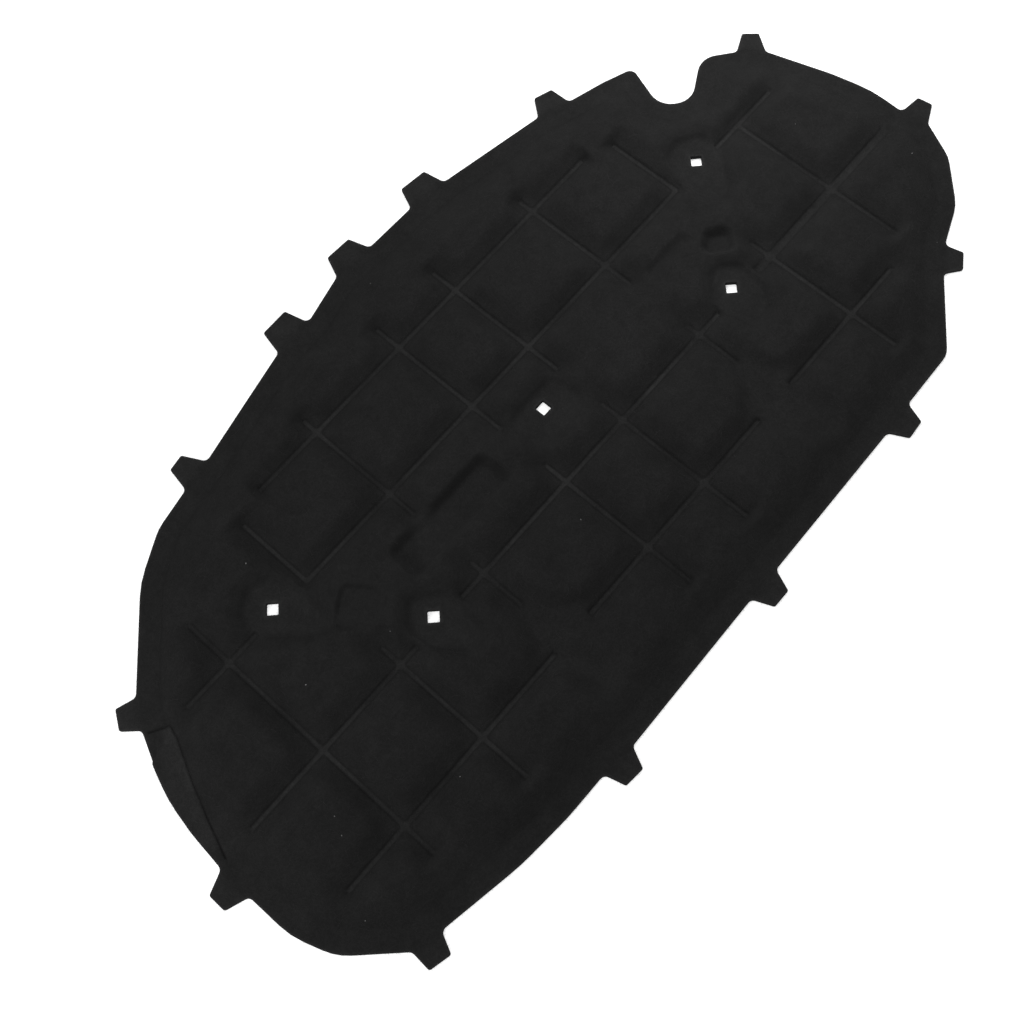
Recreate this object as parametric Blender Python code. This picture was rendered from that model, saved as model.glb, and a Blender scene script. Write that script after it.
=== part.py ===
"""Hood insulation pad: one moulded fibre blanket with quilted pillows, a pressed lip, tabs and clip holes.

Lengths are metres, angles are degrees, +Z is up. The pad lies on its flat back with the pillows up,
+X runs along it and +Y points to the bowed long edge. The plan is drawn about the middle of the
quilting, and the finished mesh is moved so that the origin is at the middle of its box, on its back.
"""

import math
from dataclasses import dataclass, replace

import bmesh
import bpy
import numpy as np
from mathutils import Vector
from mathutils.geometry import delaunay_2d_cdt

# Thickness of the blanket at each kind of place
PILLOW_HEIGHT = 0.0170
LIP_THICKNESS = 0.0034
CHANNEL_FLOOR = 0.0040
SEAT_FLOOR = 0.0062
SEAT_DIP = 0.0088
LAND_FLOOR = 0.0074
POCKET_FLOOR = 0.0045
LONG_POCKET_FLOOR = 0.0055
DISH_FLOOR = 0.0125
FOLD_FLOOR = 0.0120

# The pressed lip round the edge, the small step inside it and the round climb from there to the pillows
LIP_WIDTH = 0.0250
LIP_STEP_HEIGHT = 0.0018
LIP_STEP_RUN = 0.0030
BORDER_CLIMB = 0.0420

# A quilting channel: flat floor, short steep wall, then the long round shoulder of the pillow
CHANNEL_HALF_WIDTH = 0.0016
CHANNEL_WALL_RUN = 0.0016
CHANNEL_WALL_HEIGHT = 0.0020
PILLOW_SHOULDER = 0.0280
SECOND_LINE_SHOULDER = 0.0220
FIRST_LINE_SHOULDER = 0.0160

# How steeply the pillow climbs past a channel's end, as a multiple of the climb beside it
BLUNT_END = 2.3
FADING_END = 0.7

# Slopes round the seats, lands and pockets
SEAT_SLOPE = 0.0070
SEAT_DIP_SLOPE = 0.0240
LAND_SLOPE = 0.0240
POCKET_SLOPE = 0.0130
LONG_POCKET_SLOPE = 0.0130
DISH_SLOPE = 0.0070
FOLD_SLOPE = 0.0110

# Round corners of the rims of the seats, lands and pockets
SEAT_RIM_RADIUS = 0.0090
LAND_RIM_RADIUS = 0.0200
POCKET_RIM_RADIUS = 0.0025
DISH_RIM_RADIUS = 0.0060
FOLD_RIM_RADIUS = 0.0010

# Fixing tabs: fillets at their tips and roots
TAB_TIP_RADIUS = 0.0030
TAB_ROOT_RADIUS = 0.0070

# Square clip holes
CLIP_HOLE_SIDE = 0.0135
CLIP_HOLE_RADIUS = 0.0012

# The crease at the left end: its pressed line, how far the strip outside is bent up, and over what width
CREASE_DEPTH = 0.0012
CREASE_HALF_WIDTH = 0.0040
CREASE_RISE = 0.0060
CREASE_BEND = 0.0240

# Spacing of the mesh's points
EDGE_STEP = 0.0240
CHANNEL_STEP = 0.0160
SHOULDER_STEP = 0.0210
FILL_STEP = 0.0230
GRID_CELL = 0.0050
ROW_GAP = 0.0070
FILL_GAP = 0.0140
RING_TOLERANCE = 0.0010
MERGE_DISTANCE = 1e-7
ARC_STEP = 24.0
SHARP_ANGLE = 50.0
SHOULDER_ROWS = (0.22, 0.52, 0.95)
BORDER_ROWS = (0.3, 0.65, 1.0)
AREA_ROWS = (0.35, 0.7, 1.0)
AREA_GAP_SHARE = 0.28
DIP_ROW = 0.55

# Places of the long quilting lines, across the pad, and of the cross lines, along it
LONG_LINE = {1: 0.1820, 2: 0.0665, 3: -0.0765, 4: -0.1950}
CROSS_LINE = {"inner": 0.0495, "middle": 0.1900, "outer": 0.3250, "end": 0.4460}

# Where the quilting channels end: along the pad for the long lines, across it for the cross lines
LONG_END = {1: 0.2830, 3: 0.2250, 4: 0.1480}
LINE_2_OUTER = (0.4040, 0.5080)
LINE_3_OUTER = (0.3000, 0.5520)
LINE_4_RIGHT = (0.2080, 0.4000)
LINE_4_LEFT = (0.2080, 0.5300)
CROSS_ABOVE = {"inner": (0.0240, 0.2180), "middle": (0.0300, 0.2030), "outer": 0.1660}
CROSS_BELOW = {"inner": (-0.2550, -0.0480), "middle": (-0.1300, -0.0600), "outer": (-0.2560, -0.0500)}
END_CROSS_RIGHT = -0.1690
END_CROSS_LEFT = (-0.2360, 0.1280)

# Rims of the pressed areas: the seats about their clip holes, the others on the plan
CENTRE_SEAT_RIM = ((0.0320, 0.0120), (-0.0360, 0.0120), (-0.0360, -0.0270), (0.0320, -0.0270))
UPPER_SEAT_RIM = (
    (0.0020, 0.0290),
    (-0.0170, 0.0230),
    (-0.0300, -0.0080),
    (-0.0260, -0.0560),
    (-0.0110, -0.0500),
    (0.0260, -0.0100),
    (0.0240, 0.0160),
)
LOWER_SEAT_RIM = (
    (0.0040, 0.0270),
    (-0.0200, 0.0060),
    (-0.0230, -0.0130),
    (-0.0180, -0.0480),
    (0.0000, -0.0490),
    (0.0210, -0.0190),
    (0.0230, 0.0060),
)
LAND_RIM = (
    (0.1900, -0.1420),
    (0.1740, -0.1640),
    (0.1520, -0.1880),
    (0.1500, -0.2010),
    (0.1730, -0.2500),
    (0.2000, -0.2600),
    (0.2060, -0.2000),
    (0.2110, -0.1840),
)
FOLD_RIM = ((0.2060, 0.0130), (0.2720, 0.0120), (0.2720, 0.0150), (0.2060, 0.0160))
DISH_RIM = ((-0.3400, 0.0040), (-0.3140, -0.0270), (-0.2830, -0.0030), (-0.3030, 0.0260))
POCKET_RIM = ((0.3100, -0.0185), (0.2970, -0.0080), (0.2830, -0.0165), (0.2995, -0.0310))
LONG_POCKET_RIM = ((-0.0960, 0.0090), (-0.2340, 0.0090), (-0.2340, -0.0210), (-0.0960, -0.0210))

# Middle of each clip hole: one at the centre and two mirrored pairs, the paired ones turned 45 degrees
CENTRE_HOLE = (0.0020, 0.0020)
UPPER_HOLE = (0.3725, 0.0730)
LOWER_HOLE = (0.2625, -0.0675)
PAIRED_HOLE_TURN = 45.0

FIBRE_COLOUR = (0.018, 0.018, 0.019, 1.0)
FIBRE_ROUGHNESS = 0.95


@dataclass(frozen=True)
class Corner:
    """A corner of the outline, rounded by an arc."""

    x: float
    y: float
    radius: float


@dataclass(frozen=True)
class Tab:
    """A fixing tab: the middle of its root, the way it points, and its length and widths."""

    x: float
    y: float
    heading: float
    length: float
    tip_width: float
    root_width: float

    def corners(self):
        """The tab's four corners, counter-clockwise round the pad."""
        out = Vector((math.cos(math.radians(self.heading)), math.sin(math.radians(self.heading))))
        side = Vector((out.y, -out.x))
        root = Vector((self.x, self.y))
        tip = root + out * self.length
        places = (
            (root + side * self.root_width / 2, TAB_ROOT_RADIUS),
            (tip + side * self.tip_width / 2, TAB_TIP_RADIUS),
            (tip - side * self.tip_width / 2, TAB_TIP_RADIUS),
            (root - side * self.root_width / 2, TAB_ROOT_RADIUS),
        )
        return [Corner(place.x, place.y, radius) for place, radius in places]

    def root_corners(self):
        """The two corners where the tab leaves the body, without the tab."""
        first, _, _, last = self.corners()
        return [Corner(first.x, first.y, 0.0), Corner(last.x, last.y, 0.0)]


# The outline, counter-clockwise from the tab at the upper right
OUTLINE = (
    Tab(0.5450, 0.1215, 40.0, 0.0280, 0.0215, 0.0370),
    Corner(0.4970, 0.1655, 0.0280),
    Corner(0.4390, 0.1330, 0.0280),
    Corner(0.4080, 0.1605, 0.0280),
    Corner(0.4300, 0.2215, 0.0100),
    Corner(0.3900, 0.2370, 0.0500),
    Tab(0.3195, 0.2590, 71.0, 0.0270, 0.0250, 0.0450),
    Tab(0.1260, 0.2980, 83.0, 0.0285, 0.0370, 0.0540),
    Tab(-0.0010, 0.3040, 87.0, 0.0275, 0.0350, 0.0550),
    Tab(-0.1205, 0.2890, 91.0, 0.0320, 0.0370, 0.0520),
    Corner(-0.2130, 0.2740, 0.3000),
    Tab(-0.3180, 0.2520, 99.0, 0.0300, 0.0210, 0.0410),
    Corner(-0.3910, 0.2385, 0.0600),
    Corner(-0.4480, 0.2080, 0.1200),
    Tab(-0.5495, 0.1020, 147.0, 0.0240, 0.0250, 0.0370),
    Corner(-0.5770, 0.0480, 0.1500),
    Corner(-0.5905, 0.0100, 0.2000),
    Corner(-0.5985, -0.0350, 0.2000),
    Tab(-0.6030, -0.1010, 180.0, 0.0265, 0.0225, 0.0420),
    Corner(-0.6020, -0.1800, 0.1000),
    Corner(-0.5850, -0.2290, 0.0700),
    Tab(-0.5140, -0.2880, 256.0, 0.0245, 0.0265, 0.0360),
    Corner(-0.3960, -0.3110, 0.3000),
    Corner(-0.3270, -0.3165, 0.3000),
    Tab(-0.2495, -0.3185, 265.0, 0.0240, 0.0250, 0.0430),
    Tab(0.0000, -0.3170, 270.0, 0.0245, 0.0235, 0.0440),
    Tab(0.2530, -0.3130, 274.0, 0.0235, 0.0240, 0.0440),
    Corner(0.3540, -0.3095, 0.0260),
    Tab(0.4545, -0.2355, 303.0, 0.0220, 0.0235, 0.0380),
    Corner(0.5240, -0.2040, 0.0600),
    Corner(0.5740, -0.1580, 0.0500),
    Tab(0.5945, -0.0940, 9.0, 0.0280, 0.0195, 0.0360),
    Corner(0.5935, -0.0290, 0.1500),
    Corner(0.5820, 0.0240, 0.2000),
)


def mirrored(points):
    """The same points on the other side of the pad's middle line."""
    return [(-x, y) for x, y in points]


@dataclass(frozen=True)
class Channel:
    """A quilting channel: where it starts and ends, and how steeply the pillow climbs past each end."""

    start: tuple
    end: tuple
    start_climb: float = BLUNT_END
    end_climb: float = BLUNT_END
    shoulder: float = PILLOW_SHOULDER

    def twin(self):
        """The same channel on the other side of the pad's middle line."""
        start, end = mirrored([self.start, self.end])
        return replace(self, start=start, end=end)

    def directions(self):
        """Its first point, its length, and the unit vectors along and across it."""
        first = Vector(self.start)
        run = Vector(self.end) - first
        along = run.normalized()
        return first, run.length, along, Vector((-along.y, along.x))

    def rise(self, points):
        """The share of the pillows' height that it leaves at each point: floor, wall, round shoulder."""
        wall_share = CHANNEL_WALL_HEIGHT / (PILLOW_HEIGHT - CHANNEL_FLOOR)
        away = self.distance(points) - CHANNEL_HALF_WIDTH
        wall = np.clip(away / CHANNEL_WALL_RUN, 0.0, 1.0)
        round_part = quarter_round((away - CHANNEL_WALL_RUN) / self.shoulder)
        return wall_share * wall + (1.0 - wall_share) * round_part

    def distance(self, points):
        """Distance of points from its middle line, counted faster or slower past its ends."""
        first, length, along, across = self.directions()
        offset = points - np.array(first)
        reach = offset @ np.array(along)
        aside = offset @ np.array(across)
        past = np.maximum(-reach, 0.0) * self.start_climb + np.maximum(reach - length, 0.0) * self.end_climb
        return np.hypot(aside, past)

    def loop(self, distance):
        """The closed line round it at one distance."""
        first, length, along, across = self.directions()
        last = first + along * length
        aside = across * distance
        line = divided([first - aside, last - aside], CHANNEL_STEP, closed=False)
        line.append(last + along * distance / self.end_climb)
        line += divided([last + aside, first + aside], CHANNEL_STEP, closed=False)
        line.append(first - along * distance / self.start_climb)
        return line

    def row(self, distance):
        """Points on both sides of it at one distance, and one past each end."""
        first, length, along, across = self.directions()
        last = first + along * length
        middle = divided([first, last], SHOULDER_STEP, closed=False)
        ends = [first - along * distance / self.start_climb, last + along * distance / self.end_climb]
        return [p + across * distance for p in middle] + [p - across * distance for p in middle] + ends


def long_channel(line, reach, **style):
    """A channel on a long line, from one place along the pad to another."""
    return Channel((reach[0], LONG_LINE[line]), (reach[1], LONG_LINE[line]), **style)


def cross_channel(line, reach, **style):
    """A channel on a cross line, from one place across the pad to another."""
    return Channel((CROSS_LINE[line], reach[0]), (CROSS_LINE[line], reach[1]), **style)


def quilting_channels():
    """Every quilting channel: long lines 1 to 4 from the bowed edge down, and the cross lines between."""
    outer = CROSS_LINE["outer"]
    second = LONG_LINE[2]
    whole = [
        long_channel(1, (-LONG_END[1], LONG_END[1]), shoulder=FIRST_LINE_SHOULDER),
        long_channel(2, (-outer, outer), shoulder=SECOND_LINE_SHOULDER),
        long_channel(3, (-LONG_END[3], LONG_END[3])),
        long_channel(4, (-LONG_END[4], LONG_END[4])),
    ]
    paired = [
        long_channel(2, LINE_2_OUTER, end_climb=FADING_END, shoulder=SECOND_LINE_SHOULDER),
        long_channel(3, LINE_3_OUTER, end_climb=FADING_END),
        cross_channel("inner", CROSS_ABOVE["inner"], start_climb=FADING_END),
        cross_channel("inner", CROSS_BELOW["inner"], end_climb=FADING_END),
        cross_channel("middle", CROSS_ABOVE["middle"], start_climb=FADING_END),
        cross_channel("middle", CROSS_BELOW["middle"], start_climb=FADING_END, end_climb=FADING_END),
        cross_channel("outer", (second, CROSS_ABOVE["outer"])),
        cross_channel("outer", CROSS_BELOW["outer"], end_climb=FADING_END),
    ]
    right_only = [
        long_channel(4, LINE_4_RIGHT, end_climb=FADING_END),
        cross_channel("end", (END_CROSS_RIGHT, second)),
    ]
    left_only = [
        long_channel(4, LINE_4_LEFT, end_climb=FADING_END).twin(),
        cross_channel("end", END_CROSS_LEFT, end_climb=FADING_END).twin(),
    ]
    return whole + paired + [channel.twin() for channel in paired] + right_only + left_only


@dataclass(frozen=True)
class Pressing:
    """A flat area pressed into the pillows: its rim, its level, the slope that climbs out of it."""

    rim: tuple
    level: float
    slope: float

    def twin(self):
        """The same pressing on the other side of the pad's middle line."""
        return Pressing(tuple(reversed(mirrored(self.rim))), self.level, self.slope)

    def edge(self):
        """Its rim as points with a run no longer than the channels' own."""
        return divided([Vector(place) for place in self.rim], CHANNEL_STEP)

    def ring(self, share):
        """Points round it, at a share of the way up its slope."""
        return inward(list(reversed(self.edge())), self.slope * share)


def pressing(corners, radius, level, slope):
    """A pressed area whose rim has round corners."""
    rim = rounded([Corner(x, y, radius) for x, y in corners])
    return Pressing(tuple((point.x, point.y) for point in rim), level, slope)


def about(middle, offsets):
    """Points given as offsets from a middle."""
    return tuple((middle[0] + x, middle[1] + y) for x, y in offsets)


def centre_seat():
    """The rectangular seat round the centre clip hole."""
    return pressing(about(CENTRE_HOLE, CENTRE_SEAT_RIM), SEAT_RIM_RADIUS, SEAT_FLOOR, SEAT_SLOPE)


def side_seats():
    """The pressed seats of the right half's two clip holes, each with its tail."""
    places = ((UPPER_HOLE, UPPER_SEAT_RIM), (LOWER_HOLE, LOWER_SEAT_RIM))
    return [pressing(about(hole, rim), SEAT_RIM_RADIUS, SEAT_FLOOR, SEAT_SLOPE) for hole, rim in places]


def pressings():
    """Every flat area pressed into the pillows, the shallow ones first."""
    land = pressing(LAND_RIM, LAND_RIM_RADIUS, LAND_FLOOR, LAND_SLOPE)
    paired = [land] + side_seats()
    shallow = [
        pressing(FOLD_RIM, FOLD_RIM_RADIUS, FOLD_FLOOR, FOLD_SLOPE),
        pressing(DISH_RIM, DISH_RIM_RADIUS, DISH_FLOOR, DISH_SLOPE),
    ]
    deep = [
        centre_seat(),
        pressing(POCKET_RIM, POCKET_RIM_RADIUS, POCKET_FLOOR, POCKET_SLOPE),
        pressing(LONG_POCKET_RIM, POCKET_RIM_RADIUS, LONG_POCKET_FLOOR, LONG_POCKET_SLOPE),
    ]
    return shallow + paired + [area.twin() for area in paired] + deep


# The crease at the left end, from the tab's root down to the next tab
CREASE = (
    (-0.5560, 0.0790),
    (-0.5350, 0.0660),
    (-0.5400, 0.0480),
    (-0.5600, 0.0060),
    (-0.5760, -0.0320),
    (-0.5920, -0.0760),
)


def rounded(corners):
    """Turns corners into a closed polyline, each corner replaced by its arc."""
    path = []
    count = len(corners)
    for index, corner in enumerate(corners):
        here = Vector((corner.x, corner.y))
        before = corners[index - 1]
        after = corners[(index + 1) % count]
        back = Vector((before.x, before.y)) - here
        on = Vector((after.x, after.y)) - here
        turn = math.pi - back.angle(on)
        if corner.radius <= 0.0 or turn < 1e-4:
            path.append(here)
            continue
        reach = min(corner.radius * math.tan(turn / 2), 0.49 * back.length, 0.49 * on.length)
        radius = reach / math.tan(turn / 2)
        start = here + back.normalized() * reach
        middle = here + (back.normalized() + on.normalized()).normalized() * radius / math.cos(turn / 2)
        sign = 1.0 if back.x * on.y - back.y * on.x < 0.0 else -1.0
        first = math.atan2(start.y - middle.y, start.x - middle.x)
        pieces = max(2, math.ceil(math.degrees(turn) / ARC_STEP))
        for piece in range(pieces + 1):
            angle = first + sign * turn * piece / pieces
            path.append(middle + Vector((math.cos(angle), math.sin(angle))) * radius)
    return path


def divided(path, step, closed=True):
    """Adds points to a polyline so that none of its runs is longer than a step."""
    points = []
    count = len(path) if closed else len(path) - 1
    for index in range(count):
        start = path[index]
        run = path[(index + 1) % len(path)] - start
        pieces = max(1, math.ceil(run.length / step - 1e-6))
        points += [start + run * piece / pieces for piece in range(pieces)]
    if not closed:
        points.append(path[-1])
    return points


def outline_corners(with_tabs):
    """The outline's corners, with its tabs or with the body's edge run straight past them."""
    corners = []
    for item in OUTLINE:
        if isinstance(item, Corner):
            corners.append(item)
        else:
            corners += item.corners() if with_tabs else item.root_corners()
    return corners


def square_hole(middle, turn):
    """The rim of a square clip hole, turned about its middle."""
    half = CLIP_HOLE_SIDE / 2
    angle = math.radians(turn)
    along = Vector((math.cos(angle), math.sin(angle))) * half
    across = Vector((-along.y, along.x))
    centre = Vector(middle)
    offsets = (along + across, across - along, -along - across, along - across)
    return rounded([Corner(*(centre + offset), CLIP_HOLE_RADIUS) for offset in offsets])


def clip_holes():
    """The rims of the five clip holes."""
    holes = [square_hole(CENTRE_HOLE, 0.0)]
    for middle in (UPPER_HOLE, LOWER_HOLE):
        holes.append(square_hole(middle, PAIRED_HOLE_TURN))
        holes.append(square_hole((-middle[0], middle[1]), PAIRED_HOLE_TURN))
    return holes


def as_array(path):
    """A polyline as an array of x and y."""
    return np.array([(point[0], point[1]) for point in path])


def distance_to_path(points, path, closed=True):
    """Shortest distance from each point to a polyline."""
    starts = as_array(path)
    ends = np.roll(starts, -1, axis=0)
    if not closed:
        starts = starts[:-1]
        ends = ends[:-1]
    nearest = np.full(len(points), np.inf)
    for start, end in zip(starts, ends):
        run = end - start
        share = np.clip(((points - start) @ run) / max(run @ run, 1e-18), 0.0, 1.0)
        offset = points - start - share[:, None] * run
        nearest = np.minimum(nearest, np.hypot(offset[:, 0], offset[:, 1]))
    return nearest


def inside_path(points, path):
    """Whether each point lies inside a closed polyline."""
    corners = as_array(path)
    inside = np.zeros(len(points), dtype=bool)
    for start, end in zip(corners, np.roll(corners, -1, axis=0)):
        if start[1] == end[1]:
            continue
        spans = (start[1] > points[:, 1]) != (end[1] > points[:, 1])
        crossing = start[0] + (points[:, 1] - start[1]) * (end[0] - start[0]) / (end[1] - start[1])
        inside ^= spans & (points[:, 0] < crossing)
    return inside


def quarter_round(share):
    """A rise from 0 to 1 that starts steep and ends level."""
    return np.sin(np.clip(share, 0.0, 1.0) * math.pi / 2)


def soft_step(share):
    """A rise from 0 to 1 that starts and ends level."""
    share = np.clip(share, 0.0, 1.0)
    return share * share * (3.0 - 2.0 * share)


def crease_frame(points):
    """Each point's distance from the crease, whether it lies outside it, and its share of the way along."""
    corners = np.array(CREASE)
    runs = np.diff(corners, axis=0)
    lengths = np.hypot(runs[:, 0], runs[:, 1])
    nearest = np.full(len(points), np.inf)
    outside = np.zeros(len(points), dtype=bool)
    travelled = np.zeros(len(points))
    for index, (start, run, length) in enumerate(zip(corners, runs, lengths)):
        offset = points - start
        share = np.clip(offset @ run / (length * length), 0.0, 1.0)
        gap = np.hypot(*(offset - share[:, None] * run).T)
        closer = gap < nearest
        nearest = np.where(closer, gap, nearest)
        outside = np.where(closer, run[0] * offset[:, 1] - run[1] * offset[:, 0] < 0.0, outside)
        travelled = np.where(closer, lengths[:index].sum() + share * length, travelled)
    return nearest, outside, travelled / lengths.sum()


def crease_lift(points):
    """How far the strip outside the crease is bent up: nothing at the crease and at its two ends."""
    distance, outside, share = crease_frame(points)
    along = np.sin(math.pi * share)
    return np.where(outside, CREASE_RISE * along * soft_step(distance / CREASE_BEND), 0.0)


def crease_line(points):
    """Depth of the line pressed along the crease."""
    distance, _, _ = crease_frame(points)
    return CREASE_DEPTH * np.clip(1.0 - distance / CREASE_HALF_WIDTH, 0.0, 1.0)


@dataclass(frozen=True)
class Relief:
    """All that shapes the quilted face: the body's edge, the channels, the soft dips and the flat areas."""

    body: tuple
    channels: tuple
    dips: tuple
    areas: tuple

    def height(self, points):
        """Height of the quilted face over the pad's back."""
        rise = np.ones(len(points))
        for channel in self.channels:
            rise *= channel.rise(points)
        height = CHANNEL_FLOOR + (PILLOW_HEIGHT - CHANNEL_FLOOR) * rise
        for area in self.dips + self.areas:
            away = np.where(inside_path(points, area.rim), 0.0, distance_to_path(points, area.rim))
            climb = soft_step(away / area.slope)
            height = np.where(height > area.level, area.level + (height - area.level) * climb, height)
        inside = inside_path(points, self.body)
        depth = np.where(inside, distance_to_path(points, self.body), 0.0) - LIP_WIDTH
        lip = LIP_THICKNESS + LIP_STEP_HEIGHT * np.clip(depth / LIP_STEP_RUN, 0.0, 1.0)
        climb = quarter_round((depth - LIP_STEP_RUN) / BORDER_CLIMB)
        return lip + (height - lip) * climb - crease_line(points)


def pad_relief():
    """The pad's own relief."""
    body = tuple(rounded(outline_corners(with_tabs=False)))
    seats = [centre_seat()] + side_seats() + [seat.twin() for seat in side_seats()]
    dips = tuple(replace(seat, level=SEAT_DIP, slope=SEAT_DIP_SLOPE) for seat in seats)
    return Relief(body, tuple(quilting_channels()), dips, tuple(pressings()))


class PointSet:
    """Points of the plan, their fixed edges, and a grid that keeps later points clear of earlier ones."""

    def __init__(self):
        """Starts with no points."""
        self.points = []
        self.edges = []
        self.cells = {}

    def cell(self, point):
        """The grid cell that a point falls in."""
        return (math.floor(point[0] / GRID_CELL), math.floor(point[1] / GRID_CELL))

    def add(self, point):
        """Adds a point and gives its number."""
        self.points.append(Vector((point[0], point[1])))
        self.cells.setdefault(self.cell(point), []).append(len(self.points) - 1)
        return len(self.points) - 1

    def clear(self, point, gap):
        """Whether no point lies nearer than the gap."""
        column, row = self.cell(point)
        reach = math.ceil(gap / GRID_CELL)
        for near_column in range(column - reach, column + reach + 1):
            for near_row in range(row - reach, row + reach + 1):
                for index in self.cells.get((near_column, near_row), ()):
                    if (self.points[index] - Vector((point[0], point[1]))).length < gap:
                        return False
        return True

    def add_path(self, path, closed=True):
        """Adds a polyline whose runs stay edges of the mesh, and gives its points' numbers."""
        numbers = [self.add(point) for point in path]
        self.edges += list(zip(numbers, numbers[1:]))
        if closed:
            self.edges.append((numbers[-1], numbers[0]))
        return numbers

    def add_loose(self, points, gap):
        """Adds the points that are clear of those already there."""
        for point in points:
            if self.clear(point, gap):
                self.add(point)


def inward(path, distance):
    """Points at a distance inside a counter-clockwise polyline."""
    points = []
    for index, here in enumerate(path):
        run = path[(index + 1) % len(path)] - path[index - 1]
        if run.length > 0.0:
            run.normalize()
            points.append(here + Vector((-run.y, run.x)) * distance)
    return points


def covered(points, areas):
    """Whether each point lies in one of the pressed areas."""
    places = as_array(points)
    hit = np.zeros(len(places), dtype=bool)
    for area in areas:
        hit |= inside_path(places, area.rim)
    return hit


def outside_areas(points, areas):
    """The points that no pressed area covers."""
    return [point for point, hit in zip(points, covered(points, areas)) if not hit]


def border_ring(body, depth):
    """Points at one depth inside the body's edge, without those that come nearer to another stretch of it."""
    ring = inward(divided(body, SHOULDER_STEP), depth)
    away = distance_to_path(as_array(ring), body)
    return [point for point, gap in zip(ring, away) if gap > depth - RING_TOLERANCE]


def fill_points(body):
    """An even pattern of points over the body inside the lip."""
    corners = as_array(body)
    low = corners.min(axis=0)
    high = corners.max(axis=0)
    row_step = FILL_STEP * math.sqrt(3) / 2
    places = []
    for row in range(math.ceil((high[1] - low[1]) / row_step)):
        shift = FILL_STEP / 2 if row % 2 else 0.0
        for column in range(math.ceil((high[0] - low[0]) / FILL_STEP)):
            places.append(Vector((low[0] + shift + column * FILL_STEP, low[1] + row * row_step)))
    spots = as_array(places)
    keep = inside_path(spots, body) & (distance_to_path(spots, body) > LIP_WIDTH)
    return [place for place, kept in zip(places, keep) if kept]


def face_plan(outline, holes, relief):
    """Every point and fixed edge of the quilted face's plan."""
    plan = PointSet()
    for rim in [outline] + holes:
        plan.add_path(rim)
    plan.add_path([Vector(place) for place in CREASE], closed=False)
    for area in relief.areas:
        plan.add_path(area.edge())
    wall_top = CHANNEL_HALF_WIDTH + CHANNEL_WALL_RUN
    for channel in relief.channels:
        plan.add_path(channel.loop(CHANNEL_HALF_WIDTH))
        plan.add_path(channel.loop(wall_top))
    for share in AREA_ROWS:
        for area in relief.areas:
            plan.add_loose(outside_areas(area.ring(share), relief.areas), area.slope * AREA_GAP_SHARE)
    for depth in (LIP_WIDTH, LIP_WIDTH + LIP_STEP_RUN):
        plan.add_loose(border_ring(relief.body, depth), LIP_STEP_RUN / 2)
    for share in SHOULDER_ROWS:
        for channel in relief.channels:
            row = channel.row(wall_top + channel.shoulder * share)
            plan.add_loose(outside_areas(row, relief.areas), ROW_GAP)
    for dip in relief.dips:
        plan.add_loose(outside_areas(dip.ring(DIP_ROW), relief.areas), ROW_GAP)
    for share in BORDER_ROWS:
        depth = LIP_WIDTH + LIP_STEP_RUN + BORDER_CLIMB * share
        plan.add_loose(border_ring(relief.body, depth), ROW_GAP)
    plan.add_loose(fill_points(relief.body), FILL_GAP)
    return plan


def triangulated(plan, outline, holes):
    """The plan's points, its triangles between the outline and the holes, and where each point went."""
    places, _, faces, sources, _, _ = delaunay_2d_cdt(plan.points, plan.edges, [], 0, MERGE_DISTANCE)
    spots = as_array(places)
    corners = np.array([tuple(face) for face in faces])
    middles = spots[corners].mean(axis=1)
    keep = inside_path(middles, outline)
    for hole in holes:
        keep &= ~inside_path(middles, hole)
    corners = corners[keep]
    first, second, third = spots[corners[:, 0]], spots[corners[:, 1]], spots[corners[:, 2]]
    ahead, aside = second - first, third - first
    clockwise = ahead[:, 0] * aside[:, 1] - ahead[:, 1] * aside[:, 0] < 0.0
    corners[clockwise] = corners[clockwise][:, ::-1]
    return spots, corners, {source: number for number, origins in enumerate(sources) for source in origins}


def rim_loops(corners):
    """The closed loops of point numbers round the triangles, with the triangles on their left."""
    edges = {(triangle[i], triangle[i - 2]) for triangle in corners.tolist() for i in range(3)}
    onward = {start: end for start, end in sorted(edges) if (end, start) not in edges}
    loops = []
    while onward:
        start, here = onward.popitem()
        loop = [start]
        while here != start:
            loop.append(here)
            here = onward.pop(here)
        loops.append(loop)
    return loops


def pad_mesh():
    """The whole pad as one closed mesh: quilted face, flat back and the cut edges between them."""
    outline = divided(rounded(outline_corners(with_tabs=True)), EDGE_STEP)
    holes = clip_holes()
    relief = pad_relief()
    face, face_corners, _ = triangulated(face_plan(outline, holes, relief), outline, holes)
    upper_loops = rim_loops(face_corners)
    plan = PointSet()
    plan_loops = [plan.add_path(face[loop]) for loop in upper_loops]
    plan.add_path([Vector(place) for place in CREASE], closed=False)
    back, back_corners, found = triangulated(plan, outline, holes)
    back_height = crease_lift(back)
    face_height = crease_lift(face) + relief.height(face)
    middle = (as_array(outline).min(axis=0) + as_array(outline).max(axis=0)) / 2
    points = np.vstack(
        [np.column_stack([face - middle, face_height]), np.column_stack([back - middle, back_height])]
    )
    faces = [tuple(corner) for corner in face_corners.tolist()]
    faces += [tuple(number + len(face) for number in reversed(corner)) for corner in back_corners.tolist()]
    for upper, plan_loop in zip(upper_loops, plan_loops):
        lower = [found[number] + len(face) for number in plan_loop]
        for index in range(len(upper)):
            on = (index + 1) % len(upper)
            faces.append((lower[index], lower[on], upper[on], upper[index]))
    mesh = bpy.data.meshes.new("insulation_pad")
    mesh.from_pydata(points.tolist(), [], faces)
    return mesh


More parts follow.
